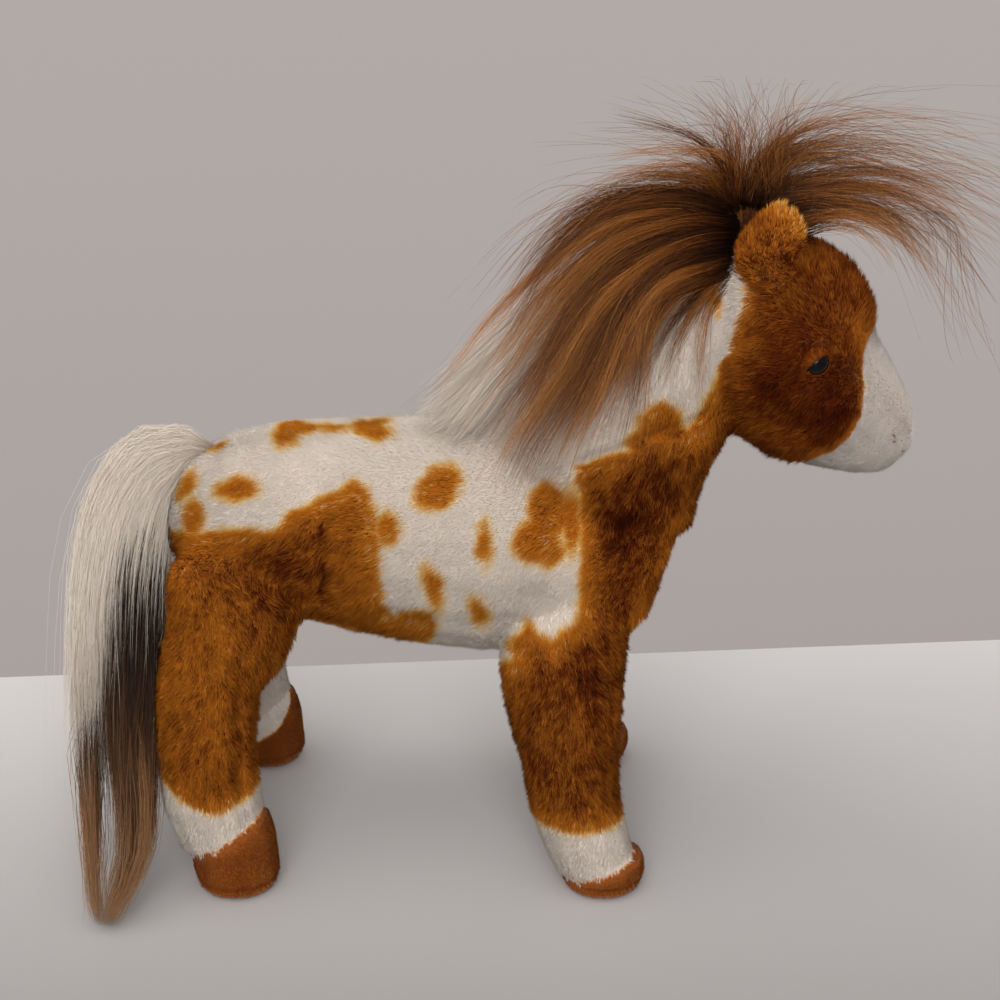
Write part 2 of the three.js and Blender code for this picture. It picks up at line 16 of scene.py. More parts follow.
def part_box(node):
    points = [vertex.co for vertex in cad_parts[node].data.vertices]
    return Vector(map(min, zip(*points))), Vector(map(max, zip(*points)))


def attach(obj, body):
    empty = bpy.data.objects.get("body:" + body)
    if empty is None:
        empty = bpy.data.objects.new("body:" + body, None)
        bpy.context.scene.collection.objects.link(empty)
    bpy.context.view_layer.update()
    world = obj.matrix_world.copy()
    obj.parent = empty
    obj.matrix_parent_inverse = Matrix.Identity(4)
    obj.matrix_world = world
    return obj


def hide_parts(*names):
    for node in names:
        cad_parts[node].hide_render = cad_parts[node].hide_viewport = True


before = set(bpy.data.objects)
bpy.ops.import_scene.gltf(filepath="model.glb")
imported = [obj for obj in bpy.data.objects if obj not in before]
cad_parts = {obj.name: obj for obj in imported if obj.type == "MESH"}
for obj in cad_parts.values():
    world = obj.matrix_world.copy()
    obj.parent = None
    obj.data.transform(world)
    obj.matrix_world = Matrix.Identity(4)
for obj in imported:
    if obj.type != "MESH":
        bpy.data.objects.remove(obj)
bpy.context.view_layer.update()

MM = 0.001
rng = np.random.default_rng(20)

torso_low, torso_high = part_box("torso_cover")
TORSO_MIDDLE = -42.5
SHIFT = np.array([
    (torso_low[0] + torso_high[0]) / 2 / MM - TORSO_MIDDLE,
    (torso_low[1] + torso_high[1]) / 2 / MM,
    0.0,
])
SIDES = {"right": -1.0, "left": 1.0}

# Head, stance and seams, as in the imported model
HEAD_MIDDLE = np.array([122.0, 0.0, 238.0])
HEAD_LENGTH = 125.0
HEAD_DEPTH = 91.0
HEAD_SLOPE = math.radians(45)
HEAD_ALONG = np.array([math.cos(HEAD_SLOPE), 0.0, -math.sin(HEAD_SLOPE)])
HEAD_UP = np.array([math.sin(HEAD_SLOPE), 0.0, math.cos(HEAD_SLOPE)])
HIND_STANCE = -131.0
FORE_STANCE = 34.0
BETWEEN_LEGS = -50.0
# Seam between sock and hoof: height at the stance, and rise for each millimetre forwards
HIND_SEAM = (29.0, math.tan(math.radians(30)))
FORE_SEAM = (11.5, math.tan(math.radians(18)))
SOLE_SEAM = 5.5
LIMBS = ("foreleg_right", "foreleg_left", "hindleg_right", "hindleg_left")
# The photograph looks down by this angle
VIEW_TILT = math.radians(22)
FAR_OFF = 99.0


# Numbers in space

def unit(vectors):
    return vectors / np.maximum(np.linalg.norm(vectors, axis=-1, keepdims=True), 1e-9)


def hashed(cells, seed):
    """Even random numbers from 0 to 1, the same for the same whole-number cell."""
    x, y, z = (cells[..., k].astype(np.int64) for k in range(3))
    h = (x * 73856093) ^ (y * 19349663) ^ (z * 83492791) ^ (seed * 2654435761)
    h = (h ^ (h >> 13)) * 1274126177
    h = (h ^ (h >> 16)) & 0xFFFFFF
    return h / float(0xFFFFFF)


def noise(points, size, seed):
    """Smooth noise from -1 to 1 at points, with lumps of about size."""
    q = points / size + seed * 7.31
    cell = np.floor(q).astype(np.int64)
    f = q - cell
    f = f * f * (3 - 2 * f)
    total = np.zeros(len(points))
    for dx, dy, dz in itertools.product((0, 1), repeat=3):
        w = (f[:, 0] if dx else 1 - f[:, 0]) * (f[:, 1] if dy else 1 - f[:, 1])
        w = w * (f[:, 2] if dz else 1 - f[:, 2])
        total += w * hashed(cell + np.array([dx, dy, dz]), seed)
    return total * 2 - 1


def tufts(points, size, seed):
    """For each point the centre of its tuft, and one random number that the tuft shares."""
    base = np.floor(points / size).astype(np.int64)
    best = np.full(len(points), 1e9)
    centre = np.zeros_like(points)
    share = np.zeros(len(points))
    for step in itertools.product((-1, 0, 1), repeat=3):
        cell = base + np.array(step)
        spot = np.stack([hashed(cell, seed + k) for k in range(3)], -1)
        spot = (cell + spot) * size
        far = ((points - spot) ** 2).sum(-1)
        near = far < best
        best[near] = far[near]
        centre[near] = spot[near]
        share[near] = hashed(cell[near], seed + 5)
    return centre, share


def smooth(x, low, high):
    """A step from 0 at low to 1 at high, soft at both ends."""
    t = np.clip((x - low) / (high - low), 0, 1)
    return t * t * (3 - 2 * t)


def fading(distance, reach):
    """1 where there is no distance, and little beyond the reach."""
    return np.exp(-(distance / reach) ** 2)


def fading_from(place, points, reach):
    return fading(np.linalg.norm(points - np.array(place), axis=1), reach)


def folded_over(points):
    """The points with the right side laid over the left one."""
    return np.stack([points[:, 0], np.abs(points[:, 1]), points[:, 2]], -1)


def on_hind_half(points):
    return points[:, 0] < BETWEEN_LEGS


def polyline_distance(points, line):
    """Distance from points to a line through places in a table."""
    line = np.asarray(line, float)
    best = np.full(len(points), 1e9)
    for a, b in zip(line[:-1], line[1:]):
        t = np.clip(((points - a) @ (b - a)) / ((b - a) @ (b - a)), 0, 1)
        best = np.minimum(best, np.linalg.norm(points - a - t[:, None] * (b - a), axis=1))
    return best


def inside_outline(flat, outline):
    """Depth inside a closed outline, less than zero outside it."""
    outline = np.asarray(outline, float)
    closed = np.vstack([outline, outline[:1]])
    depth = polyline_distance(flat, closed)
    odd = np.zeros(len(flat), bool)
    for (x1, y1), (x2, y2) in zip(closed[:-1], closed[1:]):
        if y1 == y2:
            continue
        crosses = (y1 > flat[:, 1]) != (y2 > flat[:, 1])
        odd ^= crosses & (flat[:, 0] < (x2 - x1) * (flat[:, 1] - y1) / (y2 - y1) + x1)
    return np.where(odd, depth, -depth)


def inside_spot(flat, x, v, half_x, half_v, tilt):
    """Depth inside a tilted oval, less than zero outside it."""
    c = math.cos(math.radians(tilt))
    s = math.sin(math.radians(tilt))
    dx = flat[:, 0] - x
    dv = flat[:, 1] - v
    r = np.hypot((dx * c + dv * s) / half_x, (-dx * s + dv * c) / half_v)
    return (1 - r) * min(half_x, half_v)


def curve_points(guide, steps):
    """Points at equal steps of a smooth curve through a guide's places."""
    g = np.asarray(guide, float)
    g = np.vstack([2 * g[0] - g[1], g, 2 * g[-1] - g[-2]])
    out = []
    for t in np.linspace(0, len(g) - 3 - 1e-6, steps):
        k = int(t)
        f = t - k
        a, b, c, d = g[k:k + 4]
        out.append(0.5 * (2 * b + (c - a) * f + (2 * a - 5 * b + 4 * c - d) * f ** 2
                          + (3 * b - a - 3 * c + d) * f ** 3))
    return np.array(out)


# The pelt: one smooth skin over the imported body

BODY = [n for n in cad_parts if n.endswith(("_cover", "_filling", "_hoof", "_sole", "_back", "_lining"))]
OWNERS = [n for n in BODY if not n.endswith("_filling")]


def node_arrays(name):
    """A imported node's vertices in millimetres in the horse's frame, and its triangles."""
    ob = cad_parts[name]
    me = ob.data
    co = np.empty(len(me.vertices) * 3)
    me.vertices.foreach_get("co", co)
    m = np.array(ob.matrix_world)
    co = co.reshape(-1, 3) @ m[:3, :3].T + m[:3, 3]
    me.calc_loop_triangles()
    tri = np.empty(len(me.loop_triangles) * 3, np.int32)
    me.loop_triangles.foreach_get("vertices", tri)
    return co / MM - SHIFT, tri.reshape(-1, 3)


def joined_arrays(names):
    """Several nodes' vertices and triangles, and each triangle's place in the list of names."""
    points, faces, owner, start = [], [], [], 0
    for k, name in enumerate(names):
        p, f = node_arrays(name)
        points.append(p)
        faces.append(f + start)
        owner += [k] * len(f)
        start += len(p)
    return np.vstack(points), np.vstack(faces), np.array(owner)


def mesh_of(name, points, faces, loops_each=None):
    """A mesh from points in millimetres in the horse's frame."""
    me = bpy.data.meshes.new(name)
    me.vertices.add(len(points))
    me.vertices.foreach_set("co", ((points + SHIFT) * MM).astype(np.float32).ravel())
    if loops_each is None:
        loops_each = np.full(len(faces), faces.shape[1])
        faces = faces.ravel()
    me.loops.add(len(faces))
    me.loops.foreach_set("vertex_index", faces.astype(np.int32))
    me.polygons.add(len(loops_each))
    starts = np.concatenate([[0], np.cumsum(loops_each)[:-1]])
    me.polygons.foreach_set("loop_start", starts.astype(np.int32))
    me.polygons.foreach_set("loop_total", loops_each.astype(np.int32))
    me.polygons.foreach_set("use_smooth", np.ones(len(loops_each), bool))
    me.update(calc_edges=True)
    return me


def add_object(name, me, *materials):
    ob = bpy.data.objects.new(name, me)
    bpy.context.scene.collection.objects.link(ob)
    for m in materials:
        me.materials.append(m)
    return ob


def remeshed(names, voxel):
    """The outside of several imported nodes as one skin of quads."""
    points, faces, _ = joined_arrays(names)
    ob = add_object("body_form", mesh_of("body_form", points, faces))
    mod = ob.modifiers.new("skin", "REMESH")
    mod.mode = "VOXEL"
    mod.voxel_size = voxel * MM
    dg = bpy.context.evaluated_depsgraph_get()
    me = bpy.data.meshes.new_from_object(ob.evaluated_get(dg))
    co = np.empty(len(me.vertices) * 3)
    me.vertices.foreach_get("co", co)
    quads = np.empty(len(me.loops), np.int32)
    me.loops.foreach_get("vertex_index", quads)
    bpy.data.objects.remove(ob)
    bpy.data.meshes.remove(me)
    return main_island(co.reshape(-1, 3) / MM - SHIFT, quads.reshape(-1, 4))


def main_island(points, quads):
    """The largest piece of a mesh that hangs together."""
    label = np.arange(len(points))
    while True:
        low = label[quads].min(1)
        new = label.copy()
        for k in range(4):
            np.minimum.at(new, quads[:, k], low)
        new = new[new]
        if (new == label).all():
            break
        label = new
    names, counts = np.unique(label, return_counts=True)
    keep = label == names[counts.argmax()]
    number = np.cumsum(keep) - 1
    return points[keep], number[quads[keep[quads].all(1)]]


def edges_of(quads):
    e = np.vstack([quads[:, [k, (k + 1) % 4]] for k in range(4)])
    e.sort(axis=1)
    return np.unique(e, axis=0)


def averaged(values, edges):
    """For each vertex the mean of its neighbours' values."""
    n = len(values)
    total = np.zeros_like(values)
    count = np.bincount(edges.ravel(), minlength=n)
    for k in range(values.shape[1]):
        total[:, k] = (np.bincount(edges[:, 0], values[edges[:, 1], k], n)
                       + np.bincount(edges[:, 1], values[edges[:, 0], k], n))
    return total / np.maximum(count, 1)[:, None]


def relaxed(points, edges, rounds):
    """Smoothed without shrinking, for each pull inwards is followed by a push outwards."""
    for _ in range(rounds):
        for pull in (0.5, -0.52):
            points = points + pull * (averaged(points, edges) - points)
    return points


def vertex_normals(points, quads):
    """The normal at each vertex, and the area of each quad."""
    a, b, c, d = (points[quads[:, k]] for k in range(4))
    face = np.cross(c - a, d - b)
    total = np.zeros_like(points)
    for k in range(4):
        for axis in range(3):
            total[:, axis] += np.bincount(quads[:, k], face[:, axis], len(points))
    return unit(total), np.linalg.norm(face, axis=1) / 2


SKIN_VOXEL = 2.0
SOLE_TOP = 14.0
SOLE_BLEND = 7.0
skin_points, skin_quads = remeshed(BODY, SKIN_VOXEL)
skin_edges = edges_of(skin_quads)
firm_points = relaxed(skin_points, skin_edges, 3)
skin_points = relaxed(skin_points, skin_edges, 14)
firm = np.clip((SOLE_TOP - skin_points[:, 2:]) / SOLE_BLEND, 0, 1)
skin_points = skin_points * (1 - firm) + firm_points * firm

owner_points, owner_faces, owner_ids = joined_arrays(OWNERS)
owner_tree = BVHTree.FromPolygons(owner_points.tolist(), owner_faces.tolist())
skin_owner = np.array([owner_ids[owner_tree.find_nearest(Vector(p))[2]] for p in skin_points.tolist()])


def owned(words, ids):
    """Which of the ids belong to nodes whose names hold one of the words."""
    fits = np.array([any(w in n for w in words) for n in OWNERS])
    return fits[ids]


def by_owner(base, rows, ids):
    """A value for each id: the base, or that of the last row with a word that its node's name holds."""
    values = np.full(len(ids), base)
    for words, value in rows:
        values[owned(words, ids)] = value
    return values


# The cloth runs taut over the joins of legs and torso: place, reach
TAUT = [((-146, 48, 148), 18), ((-148, 46, 134), 14), ((54, 24, 120), 22), ((62, 0, 130), 16)]
# Swellings over those joins, and the chest's flat front: place, reach, height
SWELLINGS = [
    ((-145, 50, 145), 15, 10), ((50, 26, 114), 13, 7), ((73, 12, 160), 10, 4), ((68, 10, 132), 13, -5),
    ((-147, 42, 153), 12, 9),
]
EAR_BEND = np.array([8.0, 0.0, -2.0])


def drawn_taut(points, pull, rounds):
    """Points drawn towards their neighbours, each as far as its share of pull says."""
    for _ in range(rounds):
        points = points + 0.5 * pull[:, None] * (averaged(points, skin_edges) - points)
    return points


def taut_joins(points):
    pull = np.max([fading_from(place, folded_over(points), reach) for place, reach in TAUT], axis=0)
    return drawn_taut(points, pull, 70)


def bent_ears(points):
    """The tips of the ears drawn forwards and down, and rounder."""
    bend = np.where(owned(["ear_"], skin_owner), smooth(points[:, 2], 282, 312), 0)
    return drawn_taut(points, bend, 8) + bend[:, None] * EAR_BEND


def swollen(points):
    normals, _ = vertex_normals(points, skin_quads)
    rise = sum(high * fading_from(place, folded_over(points), reach) for place, reach, high in SWELLINGS)
    return points + normals * rise[:, None]


skin_points = bent_ears(swollen(taut_joins(skin_points)))


# Creases and hollows of the sewn cloth

EYE = {s: np.array([123.5, side * 38.0, 244.0]) for s, side in SIDES.items()}
EYE_RISE = math.radians(35)
EYE_OPENING = (6.0, 3.3)
EYE_DEEP = 14.0
EYE_REACH = 8.0
SOCKET_DEPTH = 0.8
LID_HEIGHT = 3.2
HIND_LEG_CREASE = [(-121, 62, 112), (-120, 62, 95), (-121, 63, 71), (-121, 68, 52)]
# On each side: line, half width, depth. The second one is the neck's seam.
CREASES = [
    ([(-83, 38, 186), (-83, 46, 169), (-83, 49, 156), (-85, 46, 135), (-88, 42, 118)], 4.0, 2.2),
    ([(90, 20, 222), (76, 34, 213), (60, 38, 209), (47, 41, 205), (34, 41, 201), (25, 41, 197)], 2.2, 2.5),
    (HIND_LEG_CREASE, 3.0, 2.0),
    ([(49, 52, 110), (50, 56, 70), (48, 60, 40)], 2.6, 1.6),
    ([(-92, 40, 122), (-99, 47, 114), (-106, 52, 106)], 4.5, 1.6),
    ([(28, 50, 150), (30, 49, 128), (22, 52, 108), (8, 54, 100)], 4.0, 1.0),
]
SEAM_DEPTH = 0.9
SEAM_HALF = 1.8


def nearest_eye(points):
    return np.min([np.linalg.norm(points - place, axis=1) for place in EYE.values()], axis=0)


def eye_ellipse(points):
    """Distance from the nearer eye's centre, 1 at the edge of its tilted opening in the pile."""
    best = np.full(len(points), 9.0)
    for place in EYE.values():
        d = points - place
        major = d[:, 0] * math.cos(EYE_RISE) + d[:, 2] * math.sin(EYE_RISE)
        minor = -d[:, 0] * math.sin(EYE_RISE) + d[:, 2] * math.cos(EYE_RISE)
        far = np.sqrt((major / EYE_OPENING[0]) ** 2 + (minor / EYE_OPENING[1]) ** 2)
        best = np.minimum(best, np.where(np.abs(d[:, 1]) < EYE_DEEP, far, 9.0))
    return best


def pressed(points, normals):
    """Creases and eye sockets pressed in, and a lid raised round each eye."""
    for side in SIDES.values():
        for line, half, deep in CREASES:
            near = polyline_distance(points, [(x, side * y, z) for x, y, z in line])
            points = points - normals * (deep * fading(near, half))[:, None]
    for place in EYE.values():
        points = points - normals * (SOCKET_DEPTH * fading_from(place, points, EYE_REACH))[:, None]
    lid = smooth(eye_ellipse(points), 0.85, 1.25) * np.exp(-(nearest_eye(points) / EYE_REACH) ** 4)
    return points + normals * (LID_HEIGHT * lid)[:, None]


skin_normals, _ = vertex_normals(skin_points, skin_quads)
skin_points = pressed(skin_points, skin_normals)


def head_shares(points):
    """Shares along the head's length and up its depth."""
    d = points - HEAD_MIDDLE
    return d @ HEAD_ALONG / HEAD_LENGTH, d @ HEAD_UP / HEAD_DEPTH


MUZZLE_SHARES = [
    (0.09, 0.6), (0.115, 0.42), (0.125, 0.32), (0.125, 0.24), (0.155, 0.18), (0.22, 0.12), (0.28, 0.03),
    (0.315, -0.085), (0.325, -0.19), (0.315, -0.31), (0.29, -0.7), (1.2, -0.7), (1.2, 0.6),
]
HEAD_SCALE = np.array([HEAD_LENGTH, HEAD_DEPTH])
MUZZLE_OUTLINE = np.array(MUZZLE_SHARES) * HEAD_SCALE


def muzzle_depth(points):
    """Millimetres inside the white muzzle, less than zero on the head."""
    along, up = head_shares(points)
    return inside_outline(np.stack([along, up], -1) * HEAD_SCALE, MUZZLE_OUTLINE)


def hoof_depth(points):
    """Millimetres below the seam between sock and hoof, less than zero above it."""
    hind = on_hind_half(points)
    stance = np.where(hind, HIND_STANCE, FORE_STANCE)
    height = np.where(hind, HIND_SEAM[0], FORE_SEAM[0])
    slope = np.where(hind, HIND_SEAM[1], FORE_SEAM[1])
    return (height + slope * (points[:, 0] - stance) - points[:, 2]) / np.sqrt(1 + slope ** 2)


on_leg = owned(["leg_"], skin_owner)
on_head = owned(["head_", "muzzle"], skin_owner)
seam_near = np.min([
    np.where(on_leg, np.abs(hoof_depth(skin_points)), FAR_OFF),
    np.where(on_leg, np.abs(skin_points[:, 2] - SOLE_SEAM) * 1.6, FAR_OFF),
    np.where(on_head, np.abs(muzzle_depth(skin_points)), FAR_OFF),
], axis=0)
skin_normals, _ = vertex_normals(skin_points, skin_quads)
skin_points = skin_points - skin_normals * (SEAM_DEPTH * fading(seam_near, SEAM_HALF))[:, None]


# Colours of the cloth: x forwards, and v up the side as it is seen a little from above

HIND_PATCH = [
    (-170, 141), (-151, 140), (-136, 137), (-120, 140), (-104, 140), (-97, 147), (-87, 152), (-77, 156),
    (-69, 162), (-63, 157), (-59, 148), (-57, 126), (-57, 109), (-53, 103), (-46, 98), (-40, 88), (-52, 60),
    (-52, -70), (-200, -70), (-200, 141),
]
CHEST_PATCH = [
    (25, 167), (27, 148), (28, 126), (28, 111), (24.6, 101.7), (17.7, 95.3), (13.9, 91.4), (8.3, 96.1),
    (5.3, 101.7), (1.4, 97), (-4.1, 90.6), (-1.4, 83.7), (-6.3, 81.8), (-14, 80), (-14, -70), (140, -70),
    (140, 215), (80, 190), (75, 184),
]
HEAD_PATCH = [
    (96, 240), (95, 232), (90, 218), (83, 203), (78, 193), (73, 183), (84, 172), (200, 150), (200, 360),
    (96, 360),
]
# Spots of brown: x, v, their half sizes, and a tilt in degrees
SPOTS = [
    (-32.5, 157.5, 11.5, 8, 38), (14, 148, 9, 12, 0), (8.5, 135, 10, 9, 10), (14, 130, 7, 6, 0),
    (23.6, 143, 4, 13, 0), (-12.5, 134, 3.2, 8, 0), (-34.8, 115, 3.8, 9.5, 16),
    (-15.2, 105.4, 3.4, 6.5, 20), (-43, 97.5, 9, 8, 0), (61, 185, 10.5, 9, 12), (53, 178, 6, 6, 0),
    (68, 181, 7, 6, 0), (84, 236, 2.4, 4, 20), (-120, 157, 9.5, 5.5, 4), (-132, 176, 4, 2.6, 20),
    (-117, 186, 4.5, 2, 10), (-144, 159, 3.8, 6.5, -25), (-140, 144, 4.5, 8.5, 5), (-54, 140, 4.6, 7, 0),
]
RIDGE_SPOTS = [
    (-100, 180.5, 6.5, 6, 10), (-91, 184.5, 9, 4, 20), (-80, 187, 14, 5.5, 0), (-67, 185, 6, 5, -20),
    (-60, 181.5, 7, 3.6, -12),
]
LEFT_SPOTS = [
    (-36, 150, 10, 9, -15), (-22, 168, 7, 5, 0), (12, 146, 10, 12, 10), (20, 134, 8, 9, 0),
    (-12, 128, 5, 6, 0), (-32, 112, 5, 7, 20), (-10, 101, 5, 5, 0), (5, 93, 10, 8, 0), (-48, 98, 8, 6, 0),
    (50, 186, 11, 9, -10), (-116, 160, 8, 6, -8), (-140, 158, 4, 6, 0), (-136, 146, 5, 7, 0),
    (-56, 138, 5, 6, 0), (68, 206, 5, 7, 0),
]
# Seams that show as dark lines of painted shade in their dents: line, strength
SEAM_SHADE_LINES = [
    ([(26.7, 167.3), (40, 169.9), (55.1, 175.5), (70.5, 181.9), (76.5, 187.1)], 0.34),
    ([(-83, 141), (-82.5, 125), (-84, 108)], 0.2),
]
# Painted shade in hollows and creases of the brown, then golden places: place, reach, strength
SHADE_BLOBS = [
    ((-104, 44, 158), 22, 0.16), ((-92, 44, 142), 15, 0.12), ((-112, 54, 128), 18, 0.06),
    ((-118, 62, 78), 16, 0.06), ((52, 34, 180), 22, 0.14), ((46, 34, 155), 18, 0.14),
    ((58, 30, 198), 12, 0.1), ((110, 37, 223), 16, 0.12), ((136, 33, 216), 18, 0.16),
    ((112, 36, 240), 13, 0.12), ((122, 38, 256), 12, 0.1), ((136, 20, 270), 16, 0.06),
    ((107, 32, 281), 5, 0.3), ((136, 28, 236), 10, 0.1), ((30, 58, 104), 15, 0.12), ((26, 60, 66), 14, 0.1),
    ((34, 60, 44), 10, 0.08),
]
# Golden places, partly the cloth's own gold and partly painted highlights where the pile catches the light
GOLD_AND_HIGHLIGHT_BLOBS = [
    ((84, 30, 205), 9, 0.16), ((96, 32, 200), 8, 0.1), ((76, 12, 190), 12, 0.14), ((68, 14, 165), 10, 0.12),
    ((64, 16, 144), 12, 0.2), ((58, 22, 118), 13, 0.16), ((105, 32, 204), 10, 0.1),
    ((-68, 44, 138), 24, 0.07), ((92, 34, 232), 6, 0.18), ((95, 32, 246), 7, 0.2),
    ((112, 20, 286), 12, 0.12), ((138, 14, 282), 8, 0.08), ((104, 30, 190), 8, 0.12),
    ((146, 24, 250), 6, 0.12), ((125, 20, 184), 10, 0.12), ((-142, 50, 110), 14, 0.03),
]
# Heights of socks and white places, and half widths of the white on inner legs and belly
HIND_SOCK = 45.5
FORE_SOCK = 36.0
FORE_BROWN = 96.0
RIGHT_INNER_WHITE = 45.0
LEFT_INNER_WHITE = 58.0
INNER_WHITE_TOP = 125.0
BELLY_TOP = 118.0
BELLY_HALF = 30.0
WHITE_HALF = 24.0
# Tone of the muzzle's white, greyer than the body's: painted shade
MUZZLE_SHADED_WHITE = 0.012
LINING_TONE = 0.8


def flat_places(points):
    """X and v of each point."""
    up = points[:, 2] * math.cos(VIEW_TILT) - np.abs(points[:, 1]) * math.sin(VIEW_TILT)
    return np.stack([points[:, 0], up], -1)


def ragged_edge(points, seed):
    """How far the edge of a print strays at each point."""
    return noise(points, 6.0, seed) * 1.4 + noise(points, 2.0, seed + 1) * 0.8


def leg_brown(points, ragged, printed):
    """Depth of the brown on legs, which have white socks, and on the hind pair white inner sides."""
    hind = on_hind_half(points)
    x, away, height = points[:, 0], np.abs(points[:, 1]), points[:, 2]
    bowed = 0.52 * np.maximum(HIND_STANCE - 4 - x, 0) + 0.33 * np.maximum(x - HIND_STANCE + 2, 0)
    sock = np.where(hind, HIND_SOCK + bowed, FORE_SOCK) + ragged[:, 0] * 0.8
    upper = np.where(hind, 30.0, np.maximum(printed, FORE_BROWN - height + ragged[:, 1]))
    depth = np.minimum(height - sock, upper)
    white = np.where(points[:, 1] > 0, LEFT_INNER_WHITE, RIGHT_INNER_WHITE)
    inner = away - white + 0.16 * np.maximum(height - 40, 0)
    return np.where(hind & (height < INNER_WHITE_TOP), np.minimum(depth, inner + ragged[:, 1]), depth)


def brown_depth(points, ids):
    """Millimetres inside the printed brown, less than zero on white cloth."""
    ragged = np.stack([ragged_edge(points, 11), ragged_edge(points, 13)], -1)
    flat = flat_places(points) + ragged
    left = points[:, 1] > 0
    depth = np.maximum(inside_outline(flat, HIND_PATCH), inside_outline(flat, CHEST_PATCH))
    for spots, here in ((SPOTS, ~left), (LEFT_SPOTS, left), (RIDGE_SPOTS, left | ~left)):
        for spot in spots:
            depth = np.maximum(depth, np.where(here, inside_spot(flat, *spot), -FAR_OFF))
    leg = owned(["leg_"], ids)
    depth = np.where(leg, leg_brown(points, ragged, depth), depth)
    off_belly = leg | (points[:, 2] > BELLY_TOP) | (np.abs(points[:, 1]) > BELLY_HALF)
    white_belly = np.minimum(depth, np.abs(points[:, 1]) - WHITE_HALF + ragged[:, 0] * 2)
    depth = np.where(off_belly, depth, white_belly)
    head_side = inside_outline(flat, HEAD_PATCH)
    on_head = np.minimum(-muzzle_depth(points), head_side)
    depth = np.where(owned(["head_", "muzzle"], ids), on_head, depth)
    depth = np.where(owned(["neck"], ids), np.maximum(depth, head_side), depth)
    return np.where(owned(["ear_"], ids), 20.0, depth)


def streaks(points, ids, size, seed):
    """Noise drawn out along the way the pile lies."""
    stretch = np.tile([0.45, 1.0, 0.8], (len(points), 1))
    stretch[owned(["leg_", "ear_"], ids)] = (1.0, 1.0, 0.4)
    stretch[owned(["head_", "neck"], ids)] = (0.8, 1.0, 0.55)
    return noise(points * stretch, size, seed)


def hoof_tone(points):
    """Tan below the hoof's seam and white above it. The seam lies lower on a hind leg's inner side."""
    inwards = np.where(on_hind_half(points), np.clip(56 - np.abs(points[:, 1]), 0, 14), 0)
    below = np.maximum(hoof_depth(points) - 0.8 * inwards, 6 - points[:, 2])
    return np.interp(below, [-0.4, 0.4], [0.05, 1.0]) * (0.65 + 0.03 * noise(points, 9, 25))


def print_tone(points, ids, depth):
    """Tone by the depth inside the brown: a golden edge, but a sharp one at the muzzle's seam."""
    base = by_owner(0.54, [(["foreleg"], 0.62), (["head_"], 0.67)], ids)
    base[(points[:, 0] > 12) & owned(["torso", "neck"], ids)] = 0.63
    rise = np.interp(depth, [2.0, 5, 12], [0.37, 0.42, 1.0])
    edge = np.interp(depth, [-2.8, -1.1, 0.4, 2.0], [0.05, 0.14, 0.26, 0.37])
    deep = np.where(rise < 0.43, rise, 0.42 + (base - 0.42) * (rise - 0.42) / 0.58)
    tone = np.where(depth > 2.0, deep, edge)
    sharp = np.interp(depth, [-0.5, 0.3, 1.5, 6], [0.04, 0.22, 0.48, 0.66])
    tone = np.where(owned(["head_", "muzzle"], ids), sharp, tone)
    return np.where(owned(["_hoof", "_sole"], ids), hoof_tone(points), tone)


def shaded(tone, brown, points, ids):
    """The brown with painted shade in hollows, creases and seams, golden places that are partly painted
    highlights, and streaks.
    """
    mirrored = folded_over(points)
    # Painted shade, and golden places that are partly painted highlights, from the tables of blobs
    for blobs, sign in ((SHADE_BLOBS, 1), (GOLD_AND_HIGHLIGHT_BLOBS, -1)):
        for place, reach, strength in blobs:
            tone = tone + sign * brown * strength * fading_from(place, mirrored, reach)
    patchy = brown * (1 - 0.45 * owned(["head_"], ids))
    tone = tone + patchy * (0.05 * streaks(points, ids, 14, 21) + 0.06 * streaks(points, ids, 4.5, 22)
                            + 0.08 * streaks(points, ids, 1.7, 24))
    # Painted shade along the hind leg's crease and in the dents of the seams that show
    tone = tone + brown * 0.16 * fading(polyline_distance(mirrored, HIND_LEG_CREASE), 1.6)
    body = owned(["torso", "neck"], ids)
    for line, strength in SEAM_SHADE_LINES:
        tone = tone + body * brown * strength * fading(polyline_distance(flat_places(points), line), 1.7)
    return tone


def ear_tone(points):
    """Golden at the tips of the ears, with painted shadow low on each ear where it stands off the head."""
    tip = smooth(0.7 * (points[:, 2] - 296) + 0.7 * (points[:, 0] - 100), -3, 12)
    gap_shadow = fading_from((114, 34, 288), folded_over(points), 7)
    return 0.63 - 0.34 * tip + 0.3 * gap_shadow + 0.05 * noise(points * [1, 1, 0.5], 4, 23)


def cloth_tone(points, ids):
    """Place on the cloth's palette: white below 0.1, golden edges, orange and brown to dark brown at 1.

    With it comes the share of brown, 0 on white cloth and 1 well inside a print.
    """
    depth = brown_depth(points, ids)
    brown = smooth(depth, 0.5, 6)
    tone = shaded(print_tone(points, ids, depth), brown, points, ids)
    tone = np.where(owned(["ear_"], ids), ear_tone(points), tone)
    # The muzzle's white takes the greyer tone, as painted shade
    tone = np.where(owned(["muzzle"], ids) & (brown < 0.05), MUZZLE_SHADED_WHITE, tone)
    return np.where(owned(["_lining"], ids), LINING_TONE, tone), brown


# Depth of the cloth below the tips of the pile

CLOTH_DEPTHS = [(["_hoof", "_sole"], 1.0), (["ear_"], 1.2), (["muzzle"], 2.6)]
print_depth = 1.5 + 0.8 * smooth(brown_depth(skin_points, skin_owner), -1, 3)
cloth_depth = by_owner(print_depth, CLOTH_DEPTHS, skin_owner)[:, None]
for _ in range(5):
    cloth_depth = averaged(cloth_depth, skin_edges)
skin_normals, _ = vertex_normals(skin_points, skin_quads)
cloth_points = skin_points - skin_normals * cloth_depth
cloth_normals, quad_areas = vertex_normals(cloth_points, skin_quads)


# How the pile lies

FLOWS = [
    (["neck"], (-0.55, 0, -0.8)), (["leg_"], (-0.1, 0, -1)), (["ear_"], (0.1, 0, 1)),
    (["_hoof"], (0.2, 0, -1)), (["_sole"], (1, 0, 0)),
]


